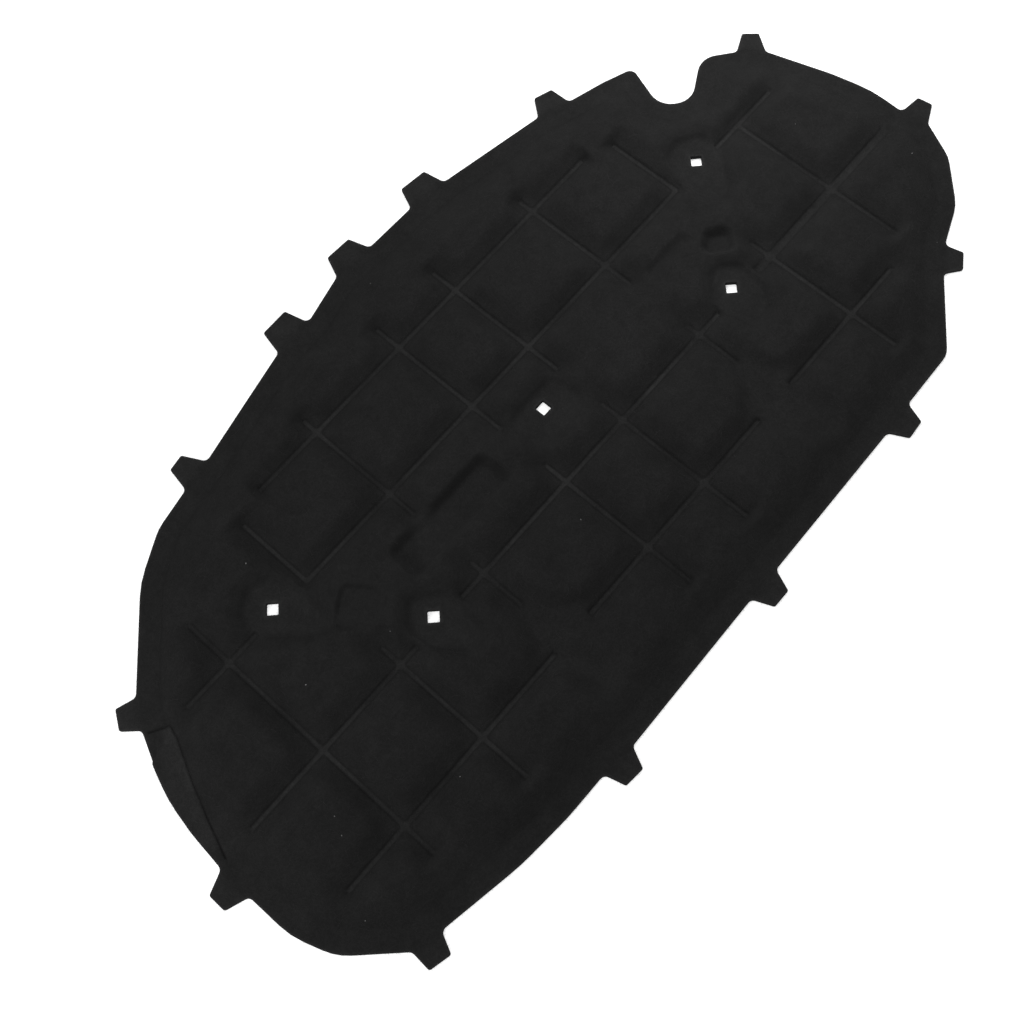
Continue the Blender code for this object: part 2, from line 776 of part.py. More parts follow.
def tidied(mesh):
    """Drops points that no face uses, and shades the face smooth up to the cut edges."""
    shape = bmesh.new()
    shape.from_mesh(mesh)
    bmesh.ops.delete(shape, geom=[vert for vert in shape.verts if not vert.link_faces], context="VERTS")
    shape.to_mesh(mesh)
    shape.free()
    mesh.shade_smooth()
    mesh.set_sharp_from_angle(angle=math.radians(SHARP_ANGLE))
    return mesh


def fibre_material():
    """Black needled fibre face."""
    material = bpy.data.materials.new("black_fibre")
    material.use_nodes = True
    shader = material.node_tree.nodes["Principled BSDF"]
    shader.inputs["Base Color"].default_value = FIBRE_COLOUR
    shader.inputs["Roughness"].default_value = FIBRE_ROUGHNESS
    shader.inputs["Metallic"].default_value = 0.0
    return material


def build():
    """Builds the pad in an empty scene."""
    for old in list(bpy.data.objects):
        bpy.data.objects.remove(old, do_unlink=True)
    mesh = tidied(pad_mesh())
    mesh.materials.append(fibre_material())
    pad = bpy.data.objects.new("insulation_pad", mesh)
    bpy.context.scene.collection.objects.link(pad)


build()
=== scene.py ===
"""Looks of the hood insulation pad: one moulded blanket of black needled fibre on a white floor.

The visible pad is drawn again by the rules of its construction at a finer step than the solid that it stands
for. Its cut edges are rounded, its pillows are a little uneven, and it carries the stray fibres, the fuzz of
its cut edges and the lint of a real one. Lengths are metres, angles are degrees, +Z is up. Plan places are
about the middle of the quilting, and the finished meshes are moved so that the origin is at the middle of
the pad's box, on its back.
"""

import logging
import math
from dataclasses import dataclass, field, replace
from enum import Enum

import bpy
import numpy as np
from mathutils import Matrix, Vector, noise
from mathutils.geometry import delaunay_2d_cdt


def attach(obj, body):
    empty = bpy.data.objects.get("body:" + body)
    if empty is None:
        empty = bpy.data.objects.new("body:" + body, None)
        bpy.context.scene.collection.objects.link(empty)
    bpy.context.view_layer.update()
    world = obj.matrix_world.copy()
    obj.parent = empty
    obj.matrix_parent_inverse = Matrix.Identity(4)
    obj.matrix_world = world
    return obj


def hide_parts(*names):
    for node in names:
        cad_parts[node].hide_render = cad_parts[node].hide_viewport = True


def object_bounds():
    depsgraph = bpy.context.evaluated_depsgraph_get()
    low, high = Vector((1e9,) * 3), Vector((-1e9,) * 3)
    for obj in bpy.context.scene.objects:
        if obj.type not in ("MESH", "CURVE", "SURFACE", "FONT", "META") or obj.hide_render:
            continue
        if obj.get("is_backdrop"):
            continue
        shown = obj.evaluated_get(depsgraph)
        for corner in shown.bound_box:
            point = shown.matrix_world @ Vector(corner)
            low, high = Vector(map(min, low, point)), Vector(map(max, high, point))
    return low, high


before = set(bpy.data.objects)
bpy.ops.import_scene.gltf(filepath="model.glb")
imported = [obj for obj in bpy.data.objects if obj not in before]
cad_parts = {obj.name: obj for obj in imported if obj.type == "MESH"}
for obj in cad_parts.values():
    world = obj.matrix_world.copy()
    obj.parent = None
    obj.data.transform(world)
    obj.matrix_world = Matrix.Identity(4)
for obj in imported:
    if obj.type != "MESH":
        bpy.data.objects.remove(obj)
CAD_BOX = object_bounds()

LOG = logging.getLogger("hood_pad")
NODE = "insulation_pad"
BODY = "root"

# Slack that keeps the drawing rules sound, and how much of its depth a sunk fibre keeps
LEAST_SQUARE = 1e-18
PIECE_SLACK = 1e-6
LEAST_TURN = 1e-4
CORNER_SHARE = 0.49
MERGE_GAP = 1e-7
SUNK_SHARE = 0.02

Place = tuple[float, float]
Colour = tuple[float, float, float, float]
Socket = bpy.types.NodeSocket


class ChannelEnd(Enum):
    """How steeply the pillow climbs past a channel's end, as a multiple of the climb beside it."""

    BLUNT = 2.3
    FADING = 0.7


class Zone(Enum):
    """Vertex attributes of the pad that its finish reads."""

    PRESSED = "pressed"
    CUT_EDGE = "cut_edge"
    # painted_shade marks where the finish paints shade: the feet of channel walls, the lip's inner line and
    # the crease
    PAINTED_SHADE = "painted_shade"


# Curves and distances on the plan


def grey(level: float) -> Colour:
    """An opaque grey of one level."""
    return (level, level, level, 1.0)


def mirrored(points: tuple[Place, ...]) -> tuple[Place, ...]:
    """The same points on the other side of the pad's middle line, in the same sense of turning."""
    return tuple((-x, y) for x, y in reversed(points))


def about(middle: Place, offsets: tuple[Place, ...]) -> tuple[Place, ...]:
    """Points given as offsets from a middle."""
    return tuple((middle[0] + x, middle[1] + y) for x, y in offsets)


def as_array(path: list | tuple) -> np.ndarray:
    """A polyline as an array of x and y."""
    return np.array([(point[0], point[1]) for point in path])


def quarter_round(share: np.ndarray) -> np.ndarray:
    """A rise from 0 to 1 that starts steep and ends level."""
    return np.sin(np.clip(share, 0.0, 1.0) * math.pi / 2)


def soft_step(share: np.ndarray) -> np.ndarray:
    """A rise from 0 to 1 that starts and ends level."""
    share = np.clip(share, 0.0, 1.0)
    return share * share * (3.0 - 2.0 * share)


def distance_to_path(points: np.ndarray, path: list | tuple, closed: bool = True) -> np.ndarray:
    """Measures how far points lie from a polyline.

    Args:
        points: Plan points, one row each.
        path: The polyline's corners.
        closed: Whether its last corner joins its first.

    Returns:
        The shortest distance of each point.
    """
    starts = as_array(path)
    ends = np.roll(starts, -1, axis=0)
    if not closed:
        starts, ends = starts[:-1], ends[:-1]
    nearest = np.full(len(points), np.inf)
    for start, end in zip(starts, ends):
        run = end - start
        share = np.clip(((points - start) @ run) / max(run @ run, LEAST_SQUARE), 0.0, 1.0)
        offset = points - start - share[:, None] * run
        nearest = np.minimum(nearest, np.hypot(offset[:, 0], offset[:, 1]))
    return nearest


def inside_path(points: np.ndarray, path: list | tuple) -> np.ndarray:
    """Tells which points lie inside a closed polyline.

    Args:
        points: Plan points, one row each.
        path: The closed polyline's corners.

    Returns:
        True for each point inside.
    """
    corners = as_array(path)
    inside = np.zeros(len(points), dtype=bool)
    for start, end in zip(corners, np.roll(corners, -1, axis=0)):
        if start[1] == end[1]:
            continue
        spans = (start[1] > points[:, 1]) != (end[1] > points[:, 1])
        crossing = start[0] + (points[:, 1] - start[1]) * (end[0] - start[0]) / (end[1] - start[1])
        inside ^= spans & (points[:, 0] < crossing)
    return inside


def distance_outside(points: np.ndarray, path: list | tuple) -> np.ndarray:
    """How far points lie outside a closed polyline, and nothing for those inside."""
    return np.where(inside_path(points, path), 0.0, distance_to_path(points, path))


def divided(path: list, step: float, closed: bool = True) -> list[Vector]:
    """Adds points to a polyline so that none of its runs is longer than a step.

    Args:
        path: The polyline's corners.
        step: The longest run allowed.
        closed: Whether its last corner joins its first.

    Returns:
        The polyline with its added points.
    """
    corners = [Vector(place) for place in path]
    points = []
    count = len(corners) if closed else len(corners) - 1
    for index in range(count):
        start = corners[index]
        run = corners[(index + 1) % len(corners)] - start
        pieces = max(1, math.ceil(run.length / step - PIECE_SLACK))
        points += [start + run * piece / pieces for piece in range(pieces)]
    if not closed:
        points.append(corners[-1])
    return points


def inward(path: list, distance: float) -> list[Vector]:
    """Points at a distance inside a counter-clockwise polyline, one for each of its own."""
    points = []
    for index, here in enumerate(path):
        run = path[(index + 1) % len(path)] - path[index - 1]
        if run.length > 0.0:
            run.normalize()
            points.append(here + Vector((-run.y, run.x)) * distance)
    return points


@dataclass(frozen=True)
class Corner:
    """A corner of an outline, rounded by an arc."""

    x: float
    y: float
    radius: float


def rounded(corners: list[Corner], arc_step: float) -> list[Vector]:
    """Turns corners into a closed polyline.

    Args:
        corners: The corners, counter-clockwise.
        arc_step: The angle between the points of an arc.

    Returns:
        The polyline, with each corner replaced by its arc.
    """
    path = []
    for index, corner in enumerate(corners):
        here = Vector((corner.x, corner.y))
        before = corners[index - 1]
        after = corners[(index + 1) % len(corners)]
        back = Vector((before.x, before.y)) - here
        on = Vector((after.x, after.y)) - here
        turn = math.pi - back.angle(on)
        if corner.radius <= 0.0 or turn < LEAST_TURN:
            path.append(here)
            continue
        room = CORNER_SHARE * min(back.length, on.length)
        reach = min(corner.radius * math.tan(turn / 2), room)
        radius = reach / math.tan(turn / 2)
        start = here + back.normalized() * reach
        middle = here + (back.normalized() + on.normalized()).normalized() * radius / math.cos(turn / 2)
        sign = 1.0 if back.x * on.y - back.y * on.x < 0.0 else -1.0
        first = math.atan2(start.y - middle.y, start.x - middle.x)
        pieces = max(2, math.ceil(math.degrees(turn) / arc_step))
        for piece in range(pieces + 1):
            angle = first + sign * turn * piece / pieces
            path.append(middle + Vector((math.cos(angle), math.sin(angle))) * radius)
    return path


# The pad's outline, quilting channels, pressed areas and crease, by the rules of its construction


@dataclass(frozen=True)
class Tab:
    """A fixing tab: the middle of its root, the way it points, its length, widths and fillets."""

    x: float
    y: float
    heading: float
    length: float
    tip_width: float
    root_width: float
    tip_radius: float = 0.0030
    root_radius: float = 0.0070

    def corners(self) -> list[Corner]:
        """The tab's four corners, counter-clockwise round the pad."""
        out = Vector((math.cos(math.radians(self.heading)), math.sin(math.radians(self.heading))))
        side = Vector((out.y, -out.x))
        root = Vector((self.x, self.y))
        tip = root + out * self.length
        places = (
            (root + side * self.root_width / 2, self.root_radius),
            (tip + side * self.tip_width / 2, self.tip_radius),
            (tip - side * self.tip_width / 2, self.tip_radius),
            (root - side * self.root_width / 2, self.root_radius),
        )
        return [Corner(place.x, place.y, radius) for place, radius in places]

    def root_corners(self) -> list[Corner]:
        """The two corners where the tab leaves the body, without the tab."""
        first, _, _, last = self.corners()
        return [Corner(first.x, first.y, 0.0), Corner(last.x, last.y, 0.0)]


@dataclass(frozen=True)
class Outline:
    """The pad's cut edge, counter-clockwise from the tab at the upper right, and its square clip holes."""

    items: tuple[Corner | Tab, ...] = (
        Tab(0.5450, 0.1215, 40.0, 0.0280, 0.0215, 0.0370),
        Corner(0.4970, 0.1655, 0.0280),
        Corner(0.4390, 0.1330, 0.0280),
        Corner(0.4080, 0.1605, 0.0280),
        Corner(0.4300, 0.2215, 0.0100),
        Corner(0.3900, 0.2370, 0.0500),
        Tab(0.3195, 0.2590, 71.0, 0.0270, 0.0250, 0.0450),
        Tab(0.1260, 0.2980, 83.0, 0.0285, 0.0370, 0.0540),
        Tab(-0.0010, 0.3040, 87.0, 0.0275, 0.0350, 0.0550),
        Tab(-0.1205, 0.2890, 91.0, 0.0320, 0.0370, 0.0520),
        Corner(-0.2130, 0.2740, 0.3000),
        Tab(-0.3180, 0.2520, 99.0, 0.0300, 0.0210, 0.0410),
        Corner(-0.3910, 0.2385, 0.0600),
        Corner(-0.4480, 0.2080, 0.1200),
        Tab(-0.5495, 0.1020, 147.0, 0.0240, 0.0250, 0.0370),
        Corner(-0.5770, 0.0480, 0.1500),
        Corner(-0.5905, 0.0100, 0.2000),
        Corner(-0.5985, -0.0350, 0.2000),
        Tab(-0.6030, -0.1010, 180.0, 0.0265, 0.0225, 0.0420),
        Corner(-0.6020, -0.1800, 0.1000),
        Corner(-0.5850, -0.2290, 0.0700),
        Tab(-0.5140, -0.2880, 256.0, 0.0245, 0.0265, 0.0360),
        Corner(-0.3960, -0.3110, 0.3000),
        Corner(-0.3270, -0.3165, 0.3000),
        Tab(-0.2495, -0.3185, 265.0, 0.0240, 0.0250, 0.0430),
        Tab(0.0000, -0.3170, 270.0, 0.0245, 0.0235, 0.0440),
        Tab(0.2530, -0.3130, 274.0, 0.0235, 0.0240, 0.0440),
        Corner(0.3540, -0.3095, 0.0260),
        Tab(0.4545, -0.2355, 303.0, 0.0220, 0.0235, 0.0380),
        Corner(0.5240, -0.2040, 0.0600),
        Corner(0.5740, -0.1580, 0.0500),
        Tab(0.5945, -0.0940, 9.0, 0.0280, 0.0195, 0.0360),
        Corner(0.5935, -0.0290, 0.1500),
        Corner(0.5820, 0.0240, 0.2000),
    )
    centre_hole: Place = (0.0020, 0.0020)
    upper_hole: Place = (0.3725, 0.0730)
    lower_hole: Place = (0.2625, -0.0675)
    hole_side: float = 0.0135
    hole_radius: float = 0.0012
    paired_hole_turn: float = 45.0
    arc_step: float = 12.0
    edge_step: float = 0.0060

    def rim(self) -> list[Vector]:
        """The cut edge with its tabs."""
        corners = []
        for item in self.items:
            corners += [item] if isinstance(item, Corner) else item.corners()
        return divided(rounded(corners, self.arc_step), self.edge_step)

    def body(self) -> tuple[Vector, ...]:
        """The edge of the body, run straight past the tabs."""
        corners = []
        for item in self.items:
            corners += [item] if isinstance(item, Corner) else item.root_corners()
        return tuple(rounded(corners, self.arc_step))

    def square_hole(self, middle: Place, turn: float) -> list[Vector]:
        """The rim of a square clip hole, counter-clockwise.

        Args:
            middle: The hole's middle on the plan.
            turn: The angle that it is turned by.

        Returns:
            The rim's points.
        """
        angle = math.radians(turn)
        along = Vector((math.cos(angle), math.sin(angle))) * self.hole_side / 2
        across = Vector((-along.y, along.x))
        centre = Vector(middle)
        offsets = (along + across, across - along, -along - across, along - across)
        return rounded([Corner(*(centre + offset), self.hole_radius) for offset in offsets], self.arc_step)

    def holes(self) -> list[list[Vector]]:
        """The rims of the five clip holes."""
        rims = [self.square_hole(self.centre_hole, 0.0)]
        for x, y in (self.upper_hole, self.lower_hole):
            rims.append(self.square_hole((x, y), self.paired_hole_turn))
            rims.append(self.square_hole((-x, y), self.paired_hole_turn))
        return rims


@dataclass(frozen=True)
class Blanket:
    """Thickness of the blanket at each kind of place, and the slopes between them."""

    pillow: float = 0.0170
    lip: float = 0.0034
    channel_floor: float = 0.0040
    seat: float = 0.0062
    seat_dip: float = 0.0088
    land: float = 0.0074
    pocket: float = 0.0060
    long_pocket: float = 0.0055
    dish: float = 0.0125
    fold: float = 0.0120
    lip_width: float = 0.0250
    lip_step_height: float = 0.0018
    lip_step_run: float = 0.0030
    border_climb: float = 0.0420
    soft_border_start: float = 0.0100
    soft_border_climb: float = 0.0550
    channel_half_width: float = 0.0016
    channel_wall_run: float = 0.0016
    channel_wall_height: float = 0.0015
    shoulder_roundness: float = 0.60
    second_line_shoulder: float = 0.0220
    first_line_shoulder: float = 0.0230
    seat_slope: float = 0.0110
    seat_dip_slope: float = 0.0240
    land_slope: float = 0.0240
    pocket_slope: float = 0.0130
    dish_slope: float = 0.0070
    fold_slope: float = 0.0110

    def channel_wall_top(self) -> float:
        """Distance of a channel's wall top from its middle line."""
        return self.channel_half_width + self.channel_wall_run


@dataclass(frozen=True)
class Channel:
    """A quilting channel: where it starts and ends, and how the pillow climbs past its ends and sides."""

    start: Place
    end: Place
    blanket: Blanket
    start_style: ChannelEnd = ChannelEnd.BLUNT
    end_style: ChannelEnd = ChannelEnd.BLUNT
    shoulder: float = 0.0280
    widening: float = 0.0

    def twin(self) -> "Channel":
        """The same channel, of the common width, on the other side of the pad's middle line."""
        start, end = ((-x, y) for x, y in (self.start, self.end))
        return replace(self, start=start, end=end, widening=0.0)

    def directions(self) -> tuple[Vector, float, Vector, Vector]:
        """Its first point, its length, and the unit vectors along and across it."""
        first = Vector(self.start)
        run = Vector(self.end) - first
        along = run.normalized()
        return first, run.length, along, Vector((-along.y, along.x))

    def distance(self, points: np.ndarray) -> np.ndarray:
        """Measures points from the channel's middle line.

        Args:
            points: Plan points, one row each.

        Returns:
            Distances, counted faster or slower past the channel's ends.
        """
        first, length, along, across = self.directions()
        offset = points - np.array(first)
        reach = offset @ np.array(along)
        before = np.maximum(-reach, 0.0) * self.start_style.value
        beyond = np.maximum(reach - length, 0.0) * self.end_style.value
        return np.maximum(np.hypot(offset @ np.array(across), before + beyond) - self.widening, 0.0)

    def rise(self, points: np.ndarray) -> np.ndarray:
        """Works out how much of the pillows' height the channel leaves.

        Args:
            points: Plan points, one row each.

        Returns:
            Shares from 0 on its floor to 1 on the pillows, past its wall and its round shoulder.
        """
        blanket = self.blanket
        wall_share = blanket.channel_wall_height / (blanket.pillow - blanket.channel_floor)
        away = self.distance(points) - blanket.channel_half_width
        wall = np.clip(away / blanket.channel_wall_run, 0.0, 1.0)
        climb = (away - blanket.channel_wall_run) / self.shoulder
        roundness = blanket.shoulder_roundness
        round_part = roundness * quarter_round(climb) + (1.0 - roundness) * soft_step(climb)
        return wall_share * wall + (1.0 - wall_share) * round_part

    def loop(self, distance: float, step: float) -> list[Vector]:
        """Draws the closed line round the channel.

        Args:
            distance: How far the line runs from the channel's middle line.
            step: The longest run between its points.

        Returns:
            The line's points.
        """
        first, length, along, across = self.directions()
        distance += self.widening
        last = first + along * length
        aside = across * distance
        line = divided([first - aside, last - aside], step, closed=False)
        line.append(last + along * distance / self.end_style.value)
        line += divided([last + aside, first + aside], step, closed=False)
        line.append(first - along * distance / self.start_style.value)
        return line


@dataclass(frozen=True)
class Quilting:
    """The quilting lines and how far each channel runs along them."""

    blanket: Blanket
    first: float = 0.1820
    second: float = 0.0665
    third: float = -0.0765
    fourth: float = -0.1950
    inner: float = 0.0495
    middle: float = 0.1900
    outer: float = 0.3250
    end: float = 0.4460
    first_reach: float = 0.2830
    third_reach: float = 0.2250
    fourth_reach: float = 0.1480
    second_outer_run: Place = (0.4040, 0.5080)
    third_outer_run: Place = (0.3000, 0.5520)
    fourth_right_run: Place = (0.2080, 0.4000)
    fourth_left_run: Place = (-0.2080, -0.5300)
    inner_above: Place = (0.0240, 0.2180)
    inner_below: Place = (-0.2550, -0.0480)
    middle_above: Place = (0.0300, 0.2030)
    middle_below: Place = (-0.1300, -0.0600)
    outer_top: float = 0.1660
    outer_below: Place = (-0.2560, -0.0500)
    right_end_foot: float = -0.1690
    left_end_run: Place = (-0.2360, 0.1280)
    right_widening: float = 0.0022

    def along(self, line: float, run: Place, **style: object) -> Channel:
        """A channel along the pad on one long line."""
        return Channel((run[0], line), (run[1], line), self.blanket, **style)

    def across(self, line: float, run: Place, **style: object) -> Channel:
        """A channel across the pad on one cross line."""
        return Channel((line, run[0]), (line, run[1]), self.blanket, **style)

    def channels(self) -> tuple[Channel, ...]:
        """Every quilting channel: the whole ones, the mirrored pairs and each end's own."""
        fading = ChannelEnd.FADING
        first_shoulder = self.blanket.first_line_shoulder
        second_shoulder = self.blanket.second_line_shoulder
        whole = [
            self.along(self.first, (-self.first_reach, self.first_reach), shoulder=first_shoulder),
            self.along(self.second, (-self.outer, self.outer), shoulder=second_shoulder),
            self.along(self.third, (-self.third_reach, self.third_reach)),
            self.along(self.fourth, (-self.fourth_reach, self.fourth_reach)),
        ]
        paired = [
            self.along(self.second, self.second_outer_run, end_style=fading, shoulder=second_shoulder),
            self.along(self.third, self.third_outer_run, end_style=fading, widening=self.right_widening),
            self.across(self.inner, self.inner_above, start_style=fading),
            self.across(self.inner, self.inner_below, end_style=fading),
            self.across(self.middle, self.middle_above, start_style=fading),
            self.across(self.middle, self.middle_below, start_style=fading, end_style=fading),
            self.across(self.outer, (self.second, self.outer_top)),
            self.across(self.outer, self.outer_below, end_style=fading),
        ]
        ends = [
            self.along(self.fourth, self.fourth_right_run, end_style=fading),
            self.along(self.fourth, self.fourth_left_run, end_style=fading),
            self.across(self.end, (self.right_end_foot, self.second)),
            self.across(-self.end, self.left_end_run, end_style=fading),
        ]
        return tuple(whole + paired + [channel.twin() for channel in paired] + ends)


@dataclass(frozen=True)
class Pressing:
    """A flat area pressed into the pillows: its rim, its level and the slope that climbs out of it."""

    rim: tuple[Place, ...]
    level: float
    slope: float

    def twin(self) -> "Pressing":
        """The same pressing on the other side of the pad's middle line."""
        return replace(self, rim=mirrored(self.rim))


@dataclass(frozen=True)
class PressedAreas:
    """The clip seats, lands, pockets, dish and fold."""

    blanket: Blanket
    outline: Outline
    seat_radius: float = 0.0090
    land_radius: float = 0.0200
    pocket_radius: float = 0.0025
    dish_radius: float = 0.0060
    fold_radius: float = 0.0010
    centre_seat: tuple[Place, ...] = (
        (0.0320, 0.0120),
        (-0.0360, 0.0120),
        (-0.0360, -0.0270),
        (0.0320, -0.0270),
    )
    upper_seat: tuple[Place, ...] = (
        (0.0020, 0.0290),
        (-0.0170, 0.0230),
        (-0.0300, -0.0080),
        (-0.0260, -0.0560),
        (-0.0110, -0.0500),
        (0.0260, -0.0100),
        (0.0240, 0.0160),
    )
    lower_seat: tuple[Place, ...] = (
        (0.0040, 0.0270),
        (-0.0200, 0.0060),
        (-0.0230, -0.0130),
        (-0.0180, -0.0480),
        (0.0000, -0.0490),
        (0.0210, -0.0190),
        (0.0230, 0.0060),
    )
    land: tuple[Place, ...] = (
        (0.1900, -0.1420),
        (0.1740, -0.1640),
        (0.1520, -0.1880),
        (0.1500, -0.2010),
        (0.1730, -0.2500),
        (0.2000, -0.2600),
        (0.2060, -0.2000),
        (0.2110, -0.1840),
    )
    fold: tuple[Place, ...] = ((0.2060, 0.0130), (0.2720, 0.0120), (0.2720, 0.0150), (0.2060, 0.0160))
    dish: tuple[Place, ...] = ((-0.3400, 0.0040), (-0.3140, -0.0270), (-0.2830, -0.0030), (-0.3030, 0.0260))
    pocket: tuple[Place, ...] = ((0.3100, -0.0185), (0.2970, -0.0080), (0.2830, -0.0165), (0.2995, -0.0310))
    long_pocket: tuple[Place, ...] = (
        (-0.0960, 0.0090),
        (-0.2340, 0.0090),
        (-0.2340, -0.0210),
        (-0.0960, -0.0210),
    )

    def pressing(self, corners: tuple[Place, ...], radius: float, level: float, slope: float) -> Pressing:
        """Makes a pressed area whose rim has round corners.

        Args:
            corners: The rim's corners, counter-clockwise.
            radius: The corners' radius.
            level: The height of the area's floor.
            slope: How wide the slope round it is.

        Returns:
            The pressed area.
        """
        rim = rounded([Corner(x, y, radius) for x, y in corners], self.outline.arc_step)
        return Pressing(tuple((point.x, point.y) for point in rim), level, slope)

    def seats(self) -> list[Pressing]:
        """The seats round the five clip holes."""
        outline = self.outline
        places = (
            (outline.centre_hole, self.centre_seat),
            (outline.upper_hole, self.upper_seat),
            (outline.lower_hole, self.lower_seat),
        )
        shape = (self.seat_radius, self.blanket.seat, self.blanket.seat_slope)
        centre, upper, lower = (self.pressing(about(hole, rim), *shape) for hole, rim in places)
        return [centre, upper, lower, upper.twin(), lower.twin()]

    def dips(self) -> list[Pressing]:
        """The soft hollows round the seats."""
        level, slope = self.blanket.seat_dip, self.blanket.seat_dip_slope
        return [replace(seat, level=level, slope=slope) for seat in self.seats()]

    def areas(self) -> list[Pressing]:
        """Every flat area, the shallow ones first."""
        blanket = self.blanket
        land = self.pressing(self.land, self.land_radius, blanket.land, blanket.land_slope)
        return [
            self.pressing(self.fold, self.fold_radius, blanket.fold, blanket.fold_slope),
            self.pressing(self.dish, self.dish_radius, blanket.dish, blanket.dish_slope),
            land,
            land.twin(),
            *self.seats(),
            self.pressing(self.pocket, self.pocket_radius, blanket.pocket, blanket.pocket_slope),
            self.pressing(self.long_pocket, self.pocket_radius, blanket.long_pocket, blanket.pocket_slope),
        ]


@dataclass(frozen=True)
class Crease:
    """The crease at the left end and the strip outside it, which is bent up a little."""

    corners: tuple[Place, ...] = (
        (-0.5560, 0.0790),
        (-0.5350, 0.0660),
        (-0.5400, 0.0480),
        (-0.5600, 0.0060),
        (-0.5760, -0.0320),
        (-0.5920, -0.0760),
    )
    depth: float = 0.0016
    half_width: float = 0.0022
    strip_rise: float = 0.0060
    bend: float = 0.0240
    strip_fade: float = 0.15
    strip_reach: float = 1.5

    def measured(self, points: np.ndarray) -> tuple[np.ndarray, np.ndarray, np.ndarray]:
        """Places points against the crease.

        Args:
            points: Plan points, one row each.

        Returns:
            Each point's distance from the crease, whether it lies outside, and its share of the way along.
        """
        corners = np.array(self.corners)
        runs = np.diff(corners, axis=0)
        lengths = np.hypot(runs[:, 0], runs[:, 1])
        nearest = np.full(len(points), np.inf)
        outside = np.zeros(len(points), dtype=bool)
        travelled = np.zeros(len(points))
        for index, (start, run, length) in enumerate(zip(corners, runs, lengths)):
            offset = points - start
            share = np.clip(offset @ run / (length * length), 0.0, 1.0)
            gap = np.hypot(*(offset - share[:, None] * run).T)
            closer = gap < nearest
            nearest = np.where(closer, gap, nearest)
            outside = np.where(closer, run[0] * offset[:, 1] - run[1] * offset[:, 0] < 0.0, outside)
            travelled = np.where(closer, lengths[:index].sum() + share * length, travelled)
        return nearest, outside, travelled / lengths.sum()

    def lift(self, points: np.ndarray) -> np.ndarray:
        """How far the strip outside the crease is bent up: nothing at the crease and at its two ends."""
        distance, outside, share = self.measured(points)
        along = np.sin(math.pi * share)
        return np.where(outside, self.strip_rise * along * soft_step(distance / self.bend), 0.0)

    def line(self, points: np.ndarray) -> np.ndarray:
        """How near points lie to the crease: 1 on it and 0 past its half width."""
        distance, _, _ = self.measured(points)
        return np.clip(1.0 - distance / self.half_width, 0.0, 1.0)

    def strip(self, points: np.ndarray) -> np.ndarray:
        """How far points belong to the strip outside the crease, from 0 to 1."""
        distance, outside, share = self.measured(points)
        along = soft_step(share / self.strip_fade) * soft_step((1.0 - share) / self.strip_fade)
        return np.where(outside, along * soft_step(self.strip_reach - distance / self.bend), 0.0)

    def path(self, step: float) -> list[Vector]:
        """The crease's own points, divided evenly."""
        return divided(list(self.corners), step, closed=False)

    def beside(self, step: float) -> list[Vector]:
        """Points on both sides of the crease, at the edges of its line."""
        points = []
        for start, end in zip(self.corners, self.corners[1:]):
            run = (Vector(end) - Vector(start)).normalized()
            aside = Vector((-run.y, run.x)) * self.half_width
            line = divided([start, end], step, closed=False)
            points += [point + aside for point in line] + [point - aside for point in line]
        return points


@dataclass(frozen=True)
class Unevenness:
    """The low waves and wrinkles of a soft blanket that was pressed and then handled."""

    waves: tuple[tuple[float, float], ...] = ((0.085, 0.00055), (0.034, 0.00030), (0.014, 0.00014))
    seed_shift: float = 41.7

    def height(self, points: np.ndarray) -> np.ndarray:
        """Sums the waves at each point.

        Args:
            points: Plan points, one row each.

        Returns:
            Heights about zero.
        """
        total = np.zeros(len(points))
        for number, (size, height) in enumerate(self.waves):
            shift = self.seed_shift * (number + 1)
            values = [noise.noise(Vector((x / size, y / size, shift))) for x, y in points.tolist()]
            total += height * np.array(values)
        return total


